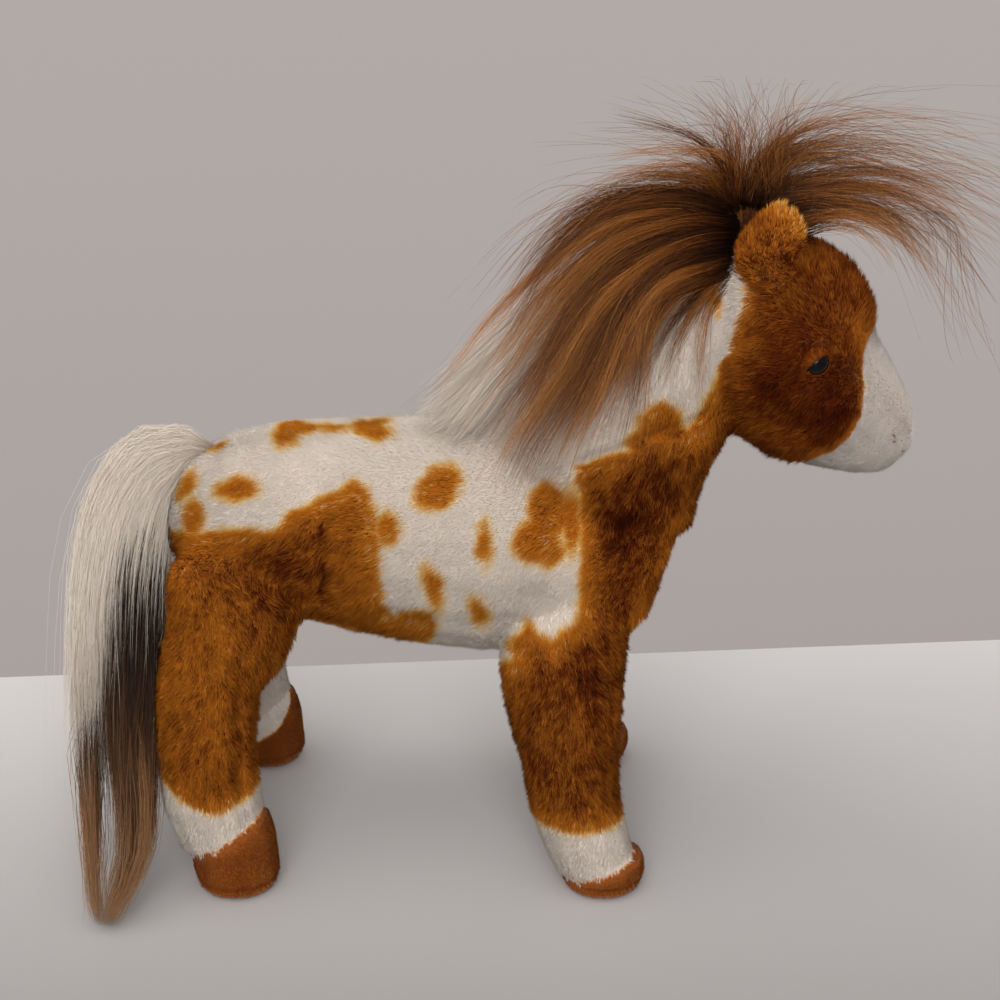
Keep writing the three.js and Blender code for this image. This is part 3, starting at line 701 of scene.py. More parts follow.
def combed():
    """The direction in which the pile lies at each point of the skin."""
    flow = np.tile([-1.0, 0.0, -0.45], (len(skin_points), 1))
    for words, way in FLOWS:
        flow[owned(words, skin_owner)] = way
    _, up = head_shares(skin_points)
    brow = smooth(up, -0.05, 0.35)[:, None]
    head_flow = brow * np.array([-0.15, 0, 1.0]) + (1 - brow) * np.array([-0.9, 0, -0.25])
    flow[on_head] = head_flow[on_head]
    for _ in range(12):
        flow = averaged(flow, skin_edges)
        flow -= cloth_normals * (flow * cloth_normals).sum(1)[:, None]
    return unit(flow)


flow_field = combed()


# Materials

def srgb(r, g, b):
    def linear(c):
        c /= 255
        return c / 12.92 if c <= 0.04045 else ((c + 0.055) / 1.055) ** 2.4
    return (linear(r), linear(g), linear(b), 1.0)


def new_material(name, roughness, sheen, specular):
    m = bpy.data.materials.new(name)
    m.use_nodes = True
    shader = m.node_tree.nodes["Principled BSDF"]
    shader.inputs["Roughness"].default_value = roughness
    shader.inputs["Specular IOR Level"].default_value = specular
    shader.inputs["Sheen Weight"].default_value = sheen
    return m, m.node_tree.nodes, m.node_tree.links, shader


def ramp(nodes, links, source, stops):
    """The colour that a socket's value picks from stops."""
    node = nodes.new("ShaderNodeValToRGB")
    elements = node.color_ramp.elements
    while len(elements) < len(stops):
        elements.new(0.5)
    for element, (place, colour) in zip(elements, stops):
        element.position = place
        element.color = colour
    links.new(source, node.inputs[0])
    return node.outputs[0]


def mixed(nodes, links, blend, factor, a, b):
    node = nodes.new("ShaderNodeMix")
    node.data_type = "RGBA"
    node.blend_type = blend
    for socket, value in ((node.inputs[0], factor), (node.inputs[6], a), (node.inputs[7], b)):
        if hasattr(value, "is_output"):
            links.new(value, socket)
        else:
            socket.default_value = value
    return node.outputs[2]


def specks(nodes, links, source, scale, detail):
    """Noise at the places that a socket gives."""
    node = nodes.new("ShaderNodeTexNoise")
    node.inputs["Scale"].default_value = scale
    node.inputs["Detail"].default_value = detail
    links.new(source, node.inputs["Vector"])
    return node.outputs["Fac"]


def on_object(nodes):
    return nodes.new("ShaderNodeTexCoord").outputs["Object"]


# The cloth's palette by tone; the greyer white at 0 is painted shade, for the muzzle
CLOTH_STOPS = [
    (0.0, srgb(208, 200, 194)), (0.05, srgb(240, 231, 222)), (0.11, srgb(241, 226, 205)),
    (0.2, srgb(238, 200, 128)), (0.29, srgb(222, 152, 52)), (0.38, srgb(202, 118, 28)),
    (0.46, srgb(194, 117, 34)), (0.55, srgb(180, 109, 36)), (0.66, srgb(140, 74, 22)),
    (0.76, srgb(110, 48, 13)), (0.88, srgb(84, 28, 8)), (1.0, srgb(44, 15, 6)),
]
# What a strand's root takes off its colour, by its tone
ROOT_STOPS = [(0.0, (0.97, 0.96, 0.95, 1)), (0.15, (0.9, 0.86, 0.8, 1)), (0.4, (0.74, 0.68, 0.6, 1))]


def strand_coordinates(nodes, links):
    """A strand's own tone, and the place along it."""
    uv = nodes.new("ShaderNodeUVMap")
    uv.uv_map = "strand"
    split = nodes.new("ShaderNodeSeparateXYZ")
    links.new(uv.outputs["UV"], split.inputs[0])
    return split.outputs["X"], split.outputs["Y"]


def pile_material(name, roughness):
    """Short pile: tone across, and lighter from root to tip."""
    m, nodes, links, shader = new_material(name, roughness, sheen=0.0, specular=0.04)
    tone, length = strand_coordinates(nodes, links)
    colour = ramp(nodes, links, tone, CLOTH_STOPS)
    root = ramp(nodes, links, tone, ROOT_STOPS)
    rooted = mixed(nodes, links, "MULTIPLY", 1.0, colour, root)
    links.new(mixed(nodes, links, "MIX", length, rooted, colour), shader.inputs["Base Color"])
    return m


def hair_material(name, dull, bright, roughness):
    """Long pile: two ramps from root to tip, mixed by each hair's own tone."""
    m, nodes, links, shader = new_material(name, roughness, sheen=0.0, specular=0.22)
    tone, length = strand_coordinates(nodes, links)
    dark = ramp(nodes, links, length, dull)
    light = ramp(nodes, links, length, bright)
    links.new(mixed(nodes, links, "MIX", tone, dark, light), shader.inputs["Base Color"])
    return m


def cloth_material(name):
    """Knitted backing under the pile: printed tone, mottled, with a fine bump."""
    m, nodes, links, shader = new_material(name, roughness=0.9, sheen=0.2, specular=0.2)
    tone = nodes.new("ShaderNodeAttribute")
    tone.attribute_name = "tone"
    colour = ramp(nodes, links, tone.outputs["Fac"], CLOTH_STOPS)
    speck = specks(nodes, links, on_object(nodes), 900, 4)
    shade = ramp(nodes, links, speck, [(0.3, (0.84, 0.81, 0.78, 1)), (0.7, (0.97, 0.97, 0.97, 1))])
    links.new(mixed(nodes, links, "MULTIPLY", 1.0, colour, shade), shader.inputs["Base Color"])
    bump = nodes.new("ShaderNodeBump")
    bump.inputs["Strength"].default_value = 0.5
    bump.inputs["Distance"].default_value = 0.0006
    links.new(speck, bump.inputs["Height"])
    links.new(bump.outputs["Normal"], shader.inputs["Normal"])
    return m


def plain_material(name, dark, light, scale, roughness, specular):
    m, nodes, links, shader = new_material(name, roughness, 0.0, specular)
    speck = specks(nodes, links, on_object(nodes), scale, 5)
    links.new(ramp(nodes, links, speck, [(0.35, dark), (0.65, light)]), shader.inputs["Base Color"])
    return m


PILE = pile_material("short_pile", 0.8)
HOOF_PILE = pile_material("hoof_pile", 0.9)
CLOTH = cloth_material("printed_cloth")
# Mane hair: near-black roots, partly the hair's own dark roots and partly painted shade deep in the mane
MANE_HAIR = hair_material(
    "mane_hair",
    [(0.0, srgb(10, 5, 3)), (0.22, srgb(28, 12, 5)), (0.55, srgb(64, 28, 10)), (1.0, srgb(118, 66, 28))],
    [(0.0, srgb(18, 8, 4)), (0.2, srgb(96, 47, 15)), (0.45, srgb(186, 114, 46)), (1.0, srgb(206, 146, 84))],
    0.5,
)
CREAM_HAIR = hair_material(
    "cream_hair",
    [(0.0, srgb(222, 208, 192)), (0.6, srgb(226, 214, 200)), (0.85, srgb(200, 184, 168)),
     (1.0, srgb(150, 130, 114))],
    [(0.0, srgb(240, 230, 218)), (0.6, srgb(243, 235, 225)), (0.85, srgb(234, 224, 212)),
     (1.0, srgb(206, 190, 174))],
    0.85,
)
TAIL_HAIR = hair_material(
    "tail_hair",
    [(0.0, srgb(14, 8, 6)), (0.66, srgb(20, 11, 8)), (0.84, srgb(78, 48, 30)), (1.0, srgb(140, 98, 64))],
    [(0.0, srgb(20, 11, 8)), (0.2, srgb(62, 38, 23)), (0.45, srgb(158, 112, 72)), (1.0, srgb(194, 152, 110))],
    0.55,
)


# Strands

TRIANGLES_A_PIECE = 190000
STRAND_V = (0.02, 0.98)


def strand_mesh(name, paths, radii, tone):
    """Closed tapering strands of three sides. paths is strands by points by 3, radii strands by points."""
    n, k, _ = paths.shape
    tangent = unit(np.gradient(paths, axis=1))
    ref = unit(rng.normal(size=(n, 1, 3)))
    side = unit(np.cross(tangent, ref))
    over = np.cross(side, tangent)
    rings = k - 1
    own = rings * 3 + 1
    points = np.empty((n, own, 3), np.float32)
    for j in range(3):
        a = j * 2 * math.pi / 3
        outwards = math.cos(a) * side + math.sin(a) * over
        points[:, j:rings * 3:3] = (paths + radii[..., None] * outwards)[:, :-1]
    points[:, -1] = paths[:, -1]
    quads = [[r * 3 + j, r * 3 + (j + 1) % 3, r * 3 + 3 + (j + 1) % 3, r * 3 + 3 + j]
             for r in range(rings - 1) for j in range(3)]
    last = (rings - 1) * 3
    tris = [[last + j, last + (j + 1) % 3, own - 1] for j in range(3)] + [[2, 1, 0]]
    pattern = np.array(sum(quads, []) + sum(tris, []))
    sizes = np.array([4] * len(quads) + [3] * len(tris))
    loops = (pattern[None, :] + (np.arange(n) * own)[:, None]).ravel()
    me = mesh_of(name, points.reshape(-1, 3), loops, np.tile(sizes, n))
    v_low, v_high = STRAND_V
    v = np.append(np.repeat(np.linspace(v_low, v_high, k)[:-1], 3), v_high)
    across = np.append(np.tile([-0.006, 0.0, 0.006], rings), 0.0)
    base_v = v[pattern]
    base_v[-3:] += [0.0, 0.008, 0.0]
    u = np.clip(tone, 0.012, 0.988)[:, None] + across[pattern][None, :]
    uv = np.stack([u, np.broadcast_to(base_v, u.shape)], -1).astype(np.float32).ravel()
    for layer in ("strand", "OFBake"):
        me.uv_layers.new(name=layer, do_init=False).data.foreach_set("uv", uv)
    return me


def add_strands(name, paths, radii, tone, material, replaced=()):
    """Strands as one or more pieces, none of too many triangles."""
    triangles_each = 6 * (paths.shape[1] - 2) + 4
    count = max(1, math.ceil(len(paths) * triangles_each / TRIANGLES_A_PIECE))
    order = np.argsort(paths[:, 0, 0], kind="stable")
    for i, part in enumerate(np.array_split(order, count)):
        label = name if count == 1 else f"{name}_{i + 1}"
        ob = add_object(label, strand_mesh(label, paths[part], radii[part], tone[part]), material)
        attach(ob, "root")
    for node in replaced:
        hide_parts(node)


# Short pile over the pelt

QUAD_OWNER = skin_owner[skin_quads[:, 0]]
# Strands to a square millimetre, and their lengths
PILE_DENSITY = 4.25
PILE_DENSITIES = [(["muzzle", "_hoof", "ear_"], 6.0), (["_sole"], 1.5), (["_lining"], 3.0)]
PILE_LENGTH = 4.6
PILE_LENGTHS = [
    (["head_"], 5.2), (["muzzle"], 4.2), (["ear_"], 4.2), (["_lining"], 1.6), (["leg_"], 4.0),
    (["_hoof"], 1.8), (["_sole"], 0.9),
]
PILE_WIDTH = 0.2
FLANK = (-75, 20)
FLANK_LENGTH = 5.6
LOWEST = 0.12
# Angle between pile and cloth, in radians, with less of it on the covers' white cloth
PILE_LIFT = 0.6
WHITE_DROP = 0.14
TUFT_SIZE = 2.6
BIG_TUFT_SIZE = 5.5
BIG_TUFT_SHIFT = 3.1
ROOT_DEPTH = 0.3
TIP_SHARE = 0.1


def sown():
    """Roots spread evenly over the pelt: the quad and the corner weights of each."""
    amount = quad_areas * (by_owner(PILE_DENSITY, PILE_DENSITIES, QUAD_OWNER) * 1.0)
    total = np.cumsum(amount)
    count = int(total[-1])
    at = (np.arange(count) + rng.random(count)) * total[-1] / count
    quad = np.searchsorted(total, at).clip(0, len(amount) - 1)
    s, t = rng.random(count), rng.random(count)
    return quad, np.stack([(1 - s) * (1 - t), s * (1 - t), s * t, (1 - s) * t], -1)


def at_roots(values, quad, weights):
    """A vertex value at each root, from the corners of its quad."""
    return (values[skin_quads[quad]] * weights[..., None]).sum(1)


def pile_length(points, ids):
    """Longest on the flank, and shorter at the hooves' seams and round the eyes."""
    length = by_owner(PILE_LENGTH, PILE_LENGTHS, ids)
    flank = (points[:, 0] > FLANK[0]) & (points[:, 0] < FLANK[1]) & owned(["torso"], ids)
    length[flank] = FLANK_LENGTH
    seam_away = np.where(owned(["leg_"], ids), np.abs(hoof_depth(points)), FAR_OFF)
    length = length * (0.55 + 0.45 * smooth(seam_away, 0.5, 7))
    return length * (0.3 + 0.7 * smooth(eye_ellipse(points), 0.9, 1.5))


def short_pile():
    """The short pile's strands: owner, path, radii and tone of each."""
    quad, weights = sown()
    owner = QUAD_OWNER[quad]
    roots = at_roots(cloth_points, quad, weights)
    normals = unit(at_roots(cloth_normals, quad, weights))
    flow = at_roots(flow_field, quad, weights)
    tone, brown = cloth_tone(roots, owner)
    # Combing: the flow is turned in soft swirls, and tufts draw together
    turn = 0.5 * noise(roots, 18, 31) + (0.2 + 0.3 * brown) * noise(roots, 6, 32)
    lie = unit(flow * np.cos(turn)[:, None] + np.cross(normals, flow) * np.sin(turn)[:, None])
    centre, tuft = tufts(roots, TUFT_SIZE, 41)
    big_centre, big_tuft = tufts(roots + BIG_TUFT_SHIFT, BIG_TUFT_SIZE, 61)
    fine = owned(["_hoof", "_sole", "_lining", "muzzle"], owner)
    uneven = 0.3 + 0.7 * brown
    lift = PILE_LIFT + uneven * (0.3 * (big_tuft - 0.5) + 0.2 * (tuft - 0.5))
    lift = lift + 0.1 * rng.normal(size=len(roots))
    lift[owned(["_hoof", "_sole", "_lining"], owner)] += 0.1
    lift -= WHITE_DROP * (1 - brown) * owned(["_cover"], owner)
    length = pile_length(roots, owner) * (0.9 + 0.2 * tuft) * rng.uniform(0.75, 1.15, len(roots))
    length = length * (0.82 + 0.18 * brown)
    pull = 0.42 * (centre - roots) + 0.16 * (big_centre - BIG_TUFT_SHIFT - roots)
    pull -= normals * (pull * normals).sum(1)[:, None]
    pull *= np.where(fine, 0.2, 0.1 + 0.9 * brown)[:, None]
    stray = rng.normal(size=roots.shape) * 0.07 * length[:, None]
    tip = (roots + lie * (length * np.cos(lift))[:, None] + normals * (length * np.sin(lift))[:, None]
           + pull + stray)
    paths = np.stack([roots - normals * ROOT_DEPTH, tip], 1)
    paths[..., 2] = np.maximum(paths[..., 2], LOWEST)
    thick = PILE_WIDTH * rng.uniform(0.8, 1.2, len(roots))
    thick = np.where(fine, thick * 0.75, thick * (0.85 + 0.15 * brown))
    # Tones differ from tuft to tuft, and less so on the head and on white cloth
    tufted = 0.15 * (tuft - 0.5) + 0.13 * (big_tuft - 0.5) + 0.115 * rng.normal(size=len(tone))
    tone = tone + tufted * brown * (1 - 0.4 * owned(["head_"], owner))
    tone = np.where(brown < 0.1, np.clip(tone + 0.006 * rng.normal(size=len(tone)), 0.012, 1), tone)
    tone = np.maximum(tone, 0.35 * smooth(brown, 0.85, 1.0) - 0.12 * owned(["ear_"], owner))
    return owner, paths, np.stack([thick, thick * TIP_SHARE], 1), tone


# Pieces of pile: nodes under them, slot, material
COVER_SLOTS = {
    "torso": "spotted_plush", "neck": "spotted_plush", "head": "chestnut_plush", "muzzle": "white_plush",
}
PILE_PIECES = {f"{part}_pile": ([f"{part}_cover"], slot, PILE) for part, slot in COVER_SLOTS.items()}
for hand in SIDES:
    PILE_PIECES[f"ear_pile_{hand}"] = ([f"ear_{hand}"], "chestnut_plush", PILE)
for limb in LIMBS:
    PILE_PIECES[f"{limb}_pile"] = ([f"{limb}_cover"], "leg_plush", PILE)
    PILE_PIECES[f"{limb}_hoof_pile"] = ([f"{limb}_hoof", f"{limb}_sole"], "hoof_plush", HOOF_PILE)
pile_owner, pile_paths, pile_radii, pile_tone = short_pile()
for name, (words, slot, material) in PILE_PIECES.items():
    mine = owned(words, pile_owner)
    add_strands(name, pile_paths[mine], pile_radii[mine], pile_tone[mine], material)


# The pelt's pieces: nodes, slot, and how full each is stuffed

PELTS = {f"{part}_pelt": ([f"{part}_cover"], slot, 0.8) for part, slot in COVER_SLOTS.items()}
for layer, word, slot in (("pelt", "back", "chestnut_plush"), ("inside", "lining", "ear_lining")):
    for hand in SIDES:
        PELTS[f"ear_{hand}_{layer}"] = ([f"ear_{hand}_{word}"], slot, None)
for limb in LIMBS:
    PELTS[f"{limb}_pelt"] = ([f"{limb}_cover"], "leg_plush", 0.8)
    PELTS[f"{limb}_hoof_pelt"] = ([f"{limb}_hoof"], "hoof_plush", 0.9)
    PELTS[f"{limb}_sole_pelt"] = ([f"{limb}_sole"], "hoof_plush", 0.9)
skin_tone, _ = cloth_tone(skin_points, skin_owner)
for name, (words, slot, fill) in PELTS.items():
    mine = owned(words, QUAD_OWNER)
    used = np.unique(skin_quads[mine])
    number = np.zeros(len(skin_points), np.int64)
    number[used] = np.arange(len(used))
    me = mesh_of(name, cloth_points[used], number[skin_quads[mine]])
    me.attributes.new("tone", "FLOAT", "POINT").data.foreach_set("value", skin_tone[used].astype(np.float32))
    ob = add_object(name, me, CLOTH)
    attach(ob, "root")
    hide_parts(*words)


# Stuffing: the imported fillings, kept below the cloth

FIBRE = plain_material("stuffing_fibre", srgb(225, 224, 220), srgb(244, 243, 240), scale=400,
                       roughness=0.95, specular=0.1)
WASHER = plain_material("washer_plastic", srgb(176, 176, 170), srgb(196, 196, 190), scale=300,
                        roughness=0.5, specular=0.4)
CLOTH_TREE = BVHTree.FromPolygons(cloth_points.tolist(), skin_quads.tolist())
FILLING_VOXEL = 3.0
ANYWHERE = 1000.0


def clear_of(tree, points, way, clear, reach):
    """Points moved until they are clear of a skin within reach, on its outside (way 1) or its inside (-1)."""
    out = points.copy()
    for i, point in enumerate(points.tolist()):
        p = Vector(point)
        place, normal, _, _ = tree.find_nearest(p, reach)
        if place is not None and (p - place).dot(normal) * way < clear:
            out[i] = place + normal * clear * way
    return out


for name in [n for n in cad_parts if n.endswith("_filling")]:
    points, quads = remeshed([name], FILLING_VOXEL)
    points = relaxed(points, edges_of(quads), 6)
    points = clear_of(CLOTH_TREE, points, -1, 1.5, ANYWHERE)
    points = relaxed(points, edges_of(quads), 2)
    points = clear_of(CLOTH_TREE, points, -1, 1.0, ANYWHERE)
    ob = add_object(f"{name}_fibre", mesh_of(f"{name}_fibre", points, quads), FIBRE)
    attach(ob, "root")
    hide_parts(name)
for name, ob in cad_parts.items():
    if name.startswith("eye_washer"):
        ob.data.materials.clear()
        ob.data.materials.append(WASHER)


# Long pile: guides of locks from root to tip, and how many locks run along each

ROOT_SPREAD = 3.4
LIFT_REACH = 14.0
HAIR_LOWEST = 0.6
HAIR_HIGHEST = 351.5
HAIR_BACK = -219.0
HAIR_FRONT = 206.5
MANE_GUIDES = [
    [(90, 0, 300), (87, -2, 314), (79, -4, 324), (67, -7, 329), (52, -10, 331), (41, -12, 330)],
    [(90, -1, 298), (85, -3, 309), (76, -6, 317), (66, -9, 319), (53, -12, 318), (37, -15, 316),
     (22, -17, 313)],
    [(90, -2, 296), (78, -6, 304), (65, -10, 309), (50, -14, 310), (35, -18, 310), (22, -22, 308),
     (12, -26, 302), (2, -30, 293), (-10, -33, 280)],
    [(89, -4, 294), (77, -9, 300), (62, -14, 304), (44, -19, 304), (29, -24, 301), (18, -29, 294),
     (9, -33, 285), (2, -37, 274), (-7, -40, 261)],
    [(90, -5, 291), (75, -11, 296), (59, -18, 297), (41, -24, 293), (27, -30, 285), (15, -35, 275),
     (5, -39, 263), (-3, -42, 248), (-13, -44, 234)],
    [(90, -6, 288), (74, -14, 290), (56, -22, 286), (39, -30, 279), (27, -36, 269), (18, -41, 257),
     (10, -45, 243), (1, -48, 229), (-13, -50, 210)],
    [(89, -8, 284), (74, -16, 284), (59, -24, 281), (47, -31, 275), (36, -38, 265), (28, -43, 253),
     (21, -47, 239), (11, -50, 224), (-1, -52, 206), (-9, -53, 183)],
    [(89, -10, 280), (77, -18, 279), (64, -26, 278), (53, -33, 272), (45, -40, 264), (39, -45, 252),
     (34, -48, 240), (27, -50, 227), (19, -52, 215), (14, -53, 198)],
    [(89, -12, 278), (80, -20, 275), (69, -28, 274), (58, -35, 270), (49, -41, 264), (43, -45, 255),
     (41, -48, 244), (39, -50, 233), (37, -51, 219), (33, -52, 204)],
    [(89, -13, 275), (81, -20, 272), (73, -28, 270), (63, -35, 267), (57, -41, 261), (53, -45, 251),
     (50, -47, 239)],
    [(89, -14, 272), (81, -22, 267), (73, -30, 262), (68, -37, 254), (64, -42, 245), (61, -45, 236),
     (59, -46, 225)],
    [(88, -15, 271), (81, -22, 267), (74, -30, 261), (70, -36, 254), (68, -40, 248)],
]
MANE_LOCKS = [2, 3, 4, 6, 10, 14, 16, 10, 4, 3, 3, 1]
UNDER_LOCKS = [0, 0, 0, 3, 7, 11, 12, 6, 1, 0, 0, 0]
FORELOCK_GUIDES = [
    [(97, 0, 300), (99, 0, 312), (106, -1, 324), (119, -1, 332), (133, -2, 335), (147, -3, 337),
     (165, -4, 336), (181, -5, 334)],
    [(99, 0, 300), (104, -1, 312), (113, -2, 320), (126, -3, 325), (141, -4, 326), (155, -5, 324),
     (171, -6, 320), (188, -7, 313), (200, -8, 304)],
    [(101, -1, 299), (110, -3, 307), (122, -5, 311), (138, -7, 314), (154, -8, 313), (169, -9, 309),
     (182, -10, 307), (198, -11, 302)],
    [(104, -2, 298), (118, -4, 305), (133, -6, 308), (149, -8, 307), (165, -10, 304), (177, -11, 298),
     (186, -12, 290), (195, -13, 279)],
    [(110, -3, 295), (120, -5, 302), (133, -8, 304), (147, -10, 303), (160, -12, 300), (172, -13, 292),
     (182, -14, 281), (192, -15, 266)],
    [(117, -4, 290), (126, -7, 295), (134, -9, 299), (146, -11, 300), (157, -13, 297), (168, -14, 291),
     (175, -15, 285)],
]
FORELOCK_LOCKS = [2, 4, 3, 4, 6, 4]
POLL_GUIDES = [
    [(86, -3, 296), (85, -5, 313), (81, -8, 326), (74, -10, 332), (62, -12, 335)],
    [(91, 0, 298), (91, -1, 313), (89, -3, 325), (83, -4, 334), (77, -5, 340)],
    [(97, 0, 299), (99, -1, 312), (100, -2, 324), (99, -3, 335), (97, -4, 343)],
    [(103, -1, 298), (105, -1, 310), (106, -2, 322), (110, -3, 331), (114, -4, 338)],
    [(108, 0, 296), (113, 0, 309), (116, -1, 322), (127, -1, 330), (139, -2, 336)],
]
POLL_LOCKS = [4, 4, 4, 5, 8]
TAIL_GUIDE = [
    (-134, 0, 187), (-145, -1, 190), (-157, -3, 187), (-167, -7, 177), (-173, -12, 161), (-176, -20, 143),
    (-177, -29, 125), (-177, -39, 105), (-177, -49, 87), (-176, -60, 68), (-174, -71, 50), (-174, -81, 31),
    (-178, -90, 14), (-180, -97, 3),
]
# Half widths of the tail by the share of its guide
TAIL_HALF_WIDTHS = [
    (0, 5), (0.06, 10), (0.16, 17), (0.3, 21), (0.45, 21.5), (0.58, 20.5), (0.7, 18.5), (0.84, 14.5),
    (0.93, 7), (1.0, 1),
]
SURFACE = BVHTree.FromPolygons(skin_points.tolist(), skin_quads.tolist())


def curve_frame(line):
    """Two directions across a line at each of its points, the first one as level as it can be."""
    tangent = unit(np.gradient(line, axis=0))
    side = unit(np.array([0.0, 1.0, 0.0]) - tangent * tangent[:, 1:2])
    return side, np.cross(tangent, side)


def between_points(line, shares):
    """Places at shares of a line's steps, and the number of the step that each is on."""
    last = len(line) - 1
    index = np.clip(shares * last, 0, last - 0.001)
    low = index.astype(int)
    f = (index - low)[..., None]
    return line[low] * (1 - f) + line[low + 1] * f, low


def between(guides, a):
    """A guide at a place between two neighbours in a table of guides, as nine points."""
    k = int(min(max(a, 0), len(guides) - 1.000001))
    f = a - k
    return (1 - f) * curve_points(guides[k], 9) + f * curve_points(guides[k + 1], 9)


def lock(guide, count, spread, steps, short, wave, gather):
    """A lock of hairs along a guide that narrows to a point. Each hair keeps its place and its own length.

    Short is the length of the shortest hairs, as a share, and wave how far a hair strays from its lock.
    """
    line = curve_points(guide, 40)
    side, over = curve_frame(line)
    ends = 1.02 - (1 - short) * rng.random(count) ** 1.15
    t = np.linspace(0, 1, steps)[None, :] * ends[:, None]
    middle, low = between_points(line, t)
    width = ROOT_SPREAD + (spread - ROOT_SPREAD) * smooth(t, 0, 0.4)
    width = width * (1 - gather * smooth(t, 0.45, 1.0))
    width = width + 0.5 * wave * smooth(t, 0.7, 1.0)
    angle = rng.uniform(0, 2 * math.pi, count)
    far = np.sqrt(rng.random(count))
    phase = rng.uniform(0, 2 * math.pi, (count, 2))
    rate = rng.uniform(2.0, 6.0, (count, 2))
    loose = rng.random((count, 1)) < 0.2
    sway = wave * t * rng.uniform(0.2, 1.0, (count, 1)) * np.where(loose, 2.8, 1.0)
    a = (far * np.cos(angle))[:, None] * width * 0.8 + sway * np.sin(rate[:, :1] * t + phase[:, :1])
    b = (far * np.sin(angle))[:, None] * width + sway * np.sin(rate[:, 1:] * t + phase[:, 1:])
    return middle + side[low] * a[..., None] + over[low] * b[..., None]


def lifted(paths, clear, start):
    """Long hairs that dip below the pile are laid on top of it, from their point number start on."""
    out = paths.copy()
    flat = paths[:, start:].reshape(-1, 3)
    out[:, start:] = clear_of(SURFACE, flat, 1, clear, LIFT_REACH).reshape(len(paths), -1, 3)
    return out


def hair_count(n):
    return max(3, int(n * (1.0)))


def locks_along(guides, counts, hairs, spread, jitter, droop, gather, steps, loose=1.0, short=0.5,
                tone=(2.0, 2.0), lengths=(0.74, 1.05)):
    """Locks spread about each guide of a table: their hairs, and one number per hair for its tone."""
    paths, tones = [], []
    for k, amount in enumerate(counts):
        sparse = amount < 4
        reach = 0.15 if sparse else 0.55
        for _ in range(amount):
            a = min(max(k + rng.uniform(-reach, reach), 0), len(guides) - 1)
            guide = between(guides, a)
            grow = np.linspace(0, 1, 9)[:, None]
            guide = guide + rng.normal(size=3) * 1.6 + rng.normal(size=3) * jitter * grow ** 1.3
            guide[:, 1] += rng.uniform(-droop, droop) * grow[:, 0]
            guide = guide[0] + (guide - guide[0]) * rng.uniform(*lengths)
            size = hair_count(hairs * rng.uniform(0.6, 1.4) * (0.55 if sparse else 1.0))
            wide = spread * rng.uniform(0.6, 1.3) * (0.6 if sparse else 1.0)
            tied = gather * rng.uniform(0.7, 1.0)
            paths.append(lock(guide, size, wide, steps, short, 1.5 * loose, tied))
            tones.append(np.clip(rng.normal(rng.beta(*tone), 0.17, size), 0.02, 0.98))
    return np.concatenate(paths), np.concatenate(tones)


def grow_hair(name, paths, tones, radius, material, replaced=(), taper=0.3):
    """Hairs as pieces, within the part's box, each tapering to a share of its radius."""
    shape = np.linspace(1, taper, paths.shape[1])[None, :]
    width = radius * rng.uniform(0.75, 1.25, (len(paths), 1)) * shape * 1.0
    paths[..., 2] = np.clip(paths[..., 2], HAIR_LOWEST, HAIR_HIGHEST)
    paths[..., 0] = np.clip(paths[..., 0], HAIR_BACK, HAIR_FRONT)
    add_strands(name, paths, width, tones, material, replaced)


def mirrored_hair(paths, share):
    """Some of the hairs again on the left side, shorter, so that the crest is covered from both sides."""
    pick = rng.random(len(paths)) < share
    other = paths[pick] * [1, -1, 1]
    return other[:, :1] + (other - other[:, :1]) * rng.uniform(0.45, 0.75, (pick.sum(), 1, 1)), pick


# Mane: dark hairs below, their darkness painted shade under the locks, locks over them, and a share of both
# again on the left side
under, under_tones = locks_along(
    MANE_GUIDES, UNDER_LOCKS, hairs=88, spread=6.0, jitter=(3.5, 2.0, 4.5), droop=2.5, gather=0.5, steps=10,
    loose=2.4, short=0.3, tone=(1.2, 5.0), lengths=(0.55, 0.82))
under[..., 1] = np.where(under[..., 1] < -8, under[..., 1] + 2.5, under[..., 1])
mane, mane_tones = locks_along(
    MANE_GUIDES, MANE_LOCKS, hairs=86, spread=2.5, jitter=(7.5, 3.0, 10.0), droop=3.0, gather=0.97, steps=10,
    loose=2.4, short=0.3, tone=(0.6, 0.75), lengths=(0.8, 1.06))
mane = np.concatenate([under, mane])
mane_tones = np.append(under_tones, mane_tones)
far_mane, pick = mirrored_hair(mane, 0.24)
mane = lifted(np.concatenate([mane, far_mane]), clear=1.5, start=3)
grow_hair("mane_hair", mane, np.append(mane_tones, mane_tones[pick]), 0.1, MANE_HAIR, ["mane"])

# Forelock and poll
fore, fore_tones = locks_along(
    FORELOCK_GUIDES, FORELOCK_LOCKS, hairs=75, spread=2.5, jitter=(6.0, 5.0, 6.5), droop=9, gather=0.85,
    steps=11, loose=2.6, short=0.1, tone=(1.3, 0.9), lengths=(0.66, 0.98))
poll, poll_tones = locks_along(
    POLL_GUIDES, POLL_LOCKS, hairs=40, spread=4.0, jitter=(11.0, 6.0, 6.0), droop=8, gather=0.4, steps=11,
    loose=4.5, short=0.1)
fore = lifted(np.concatenate([fore, poll]), clear=1.2, start=3)
grow_hair("forelock_hair", fore, np.append(fore_tones, poll_tones), 0.1, MANE_HAIR, ["forelock"])


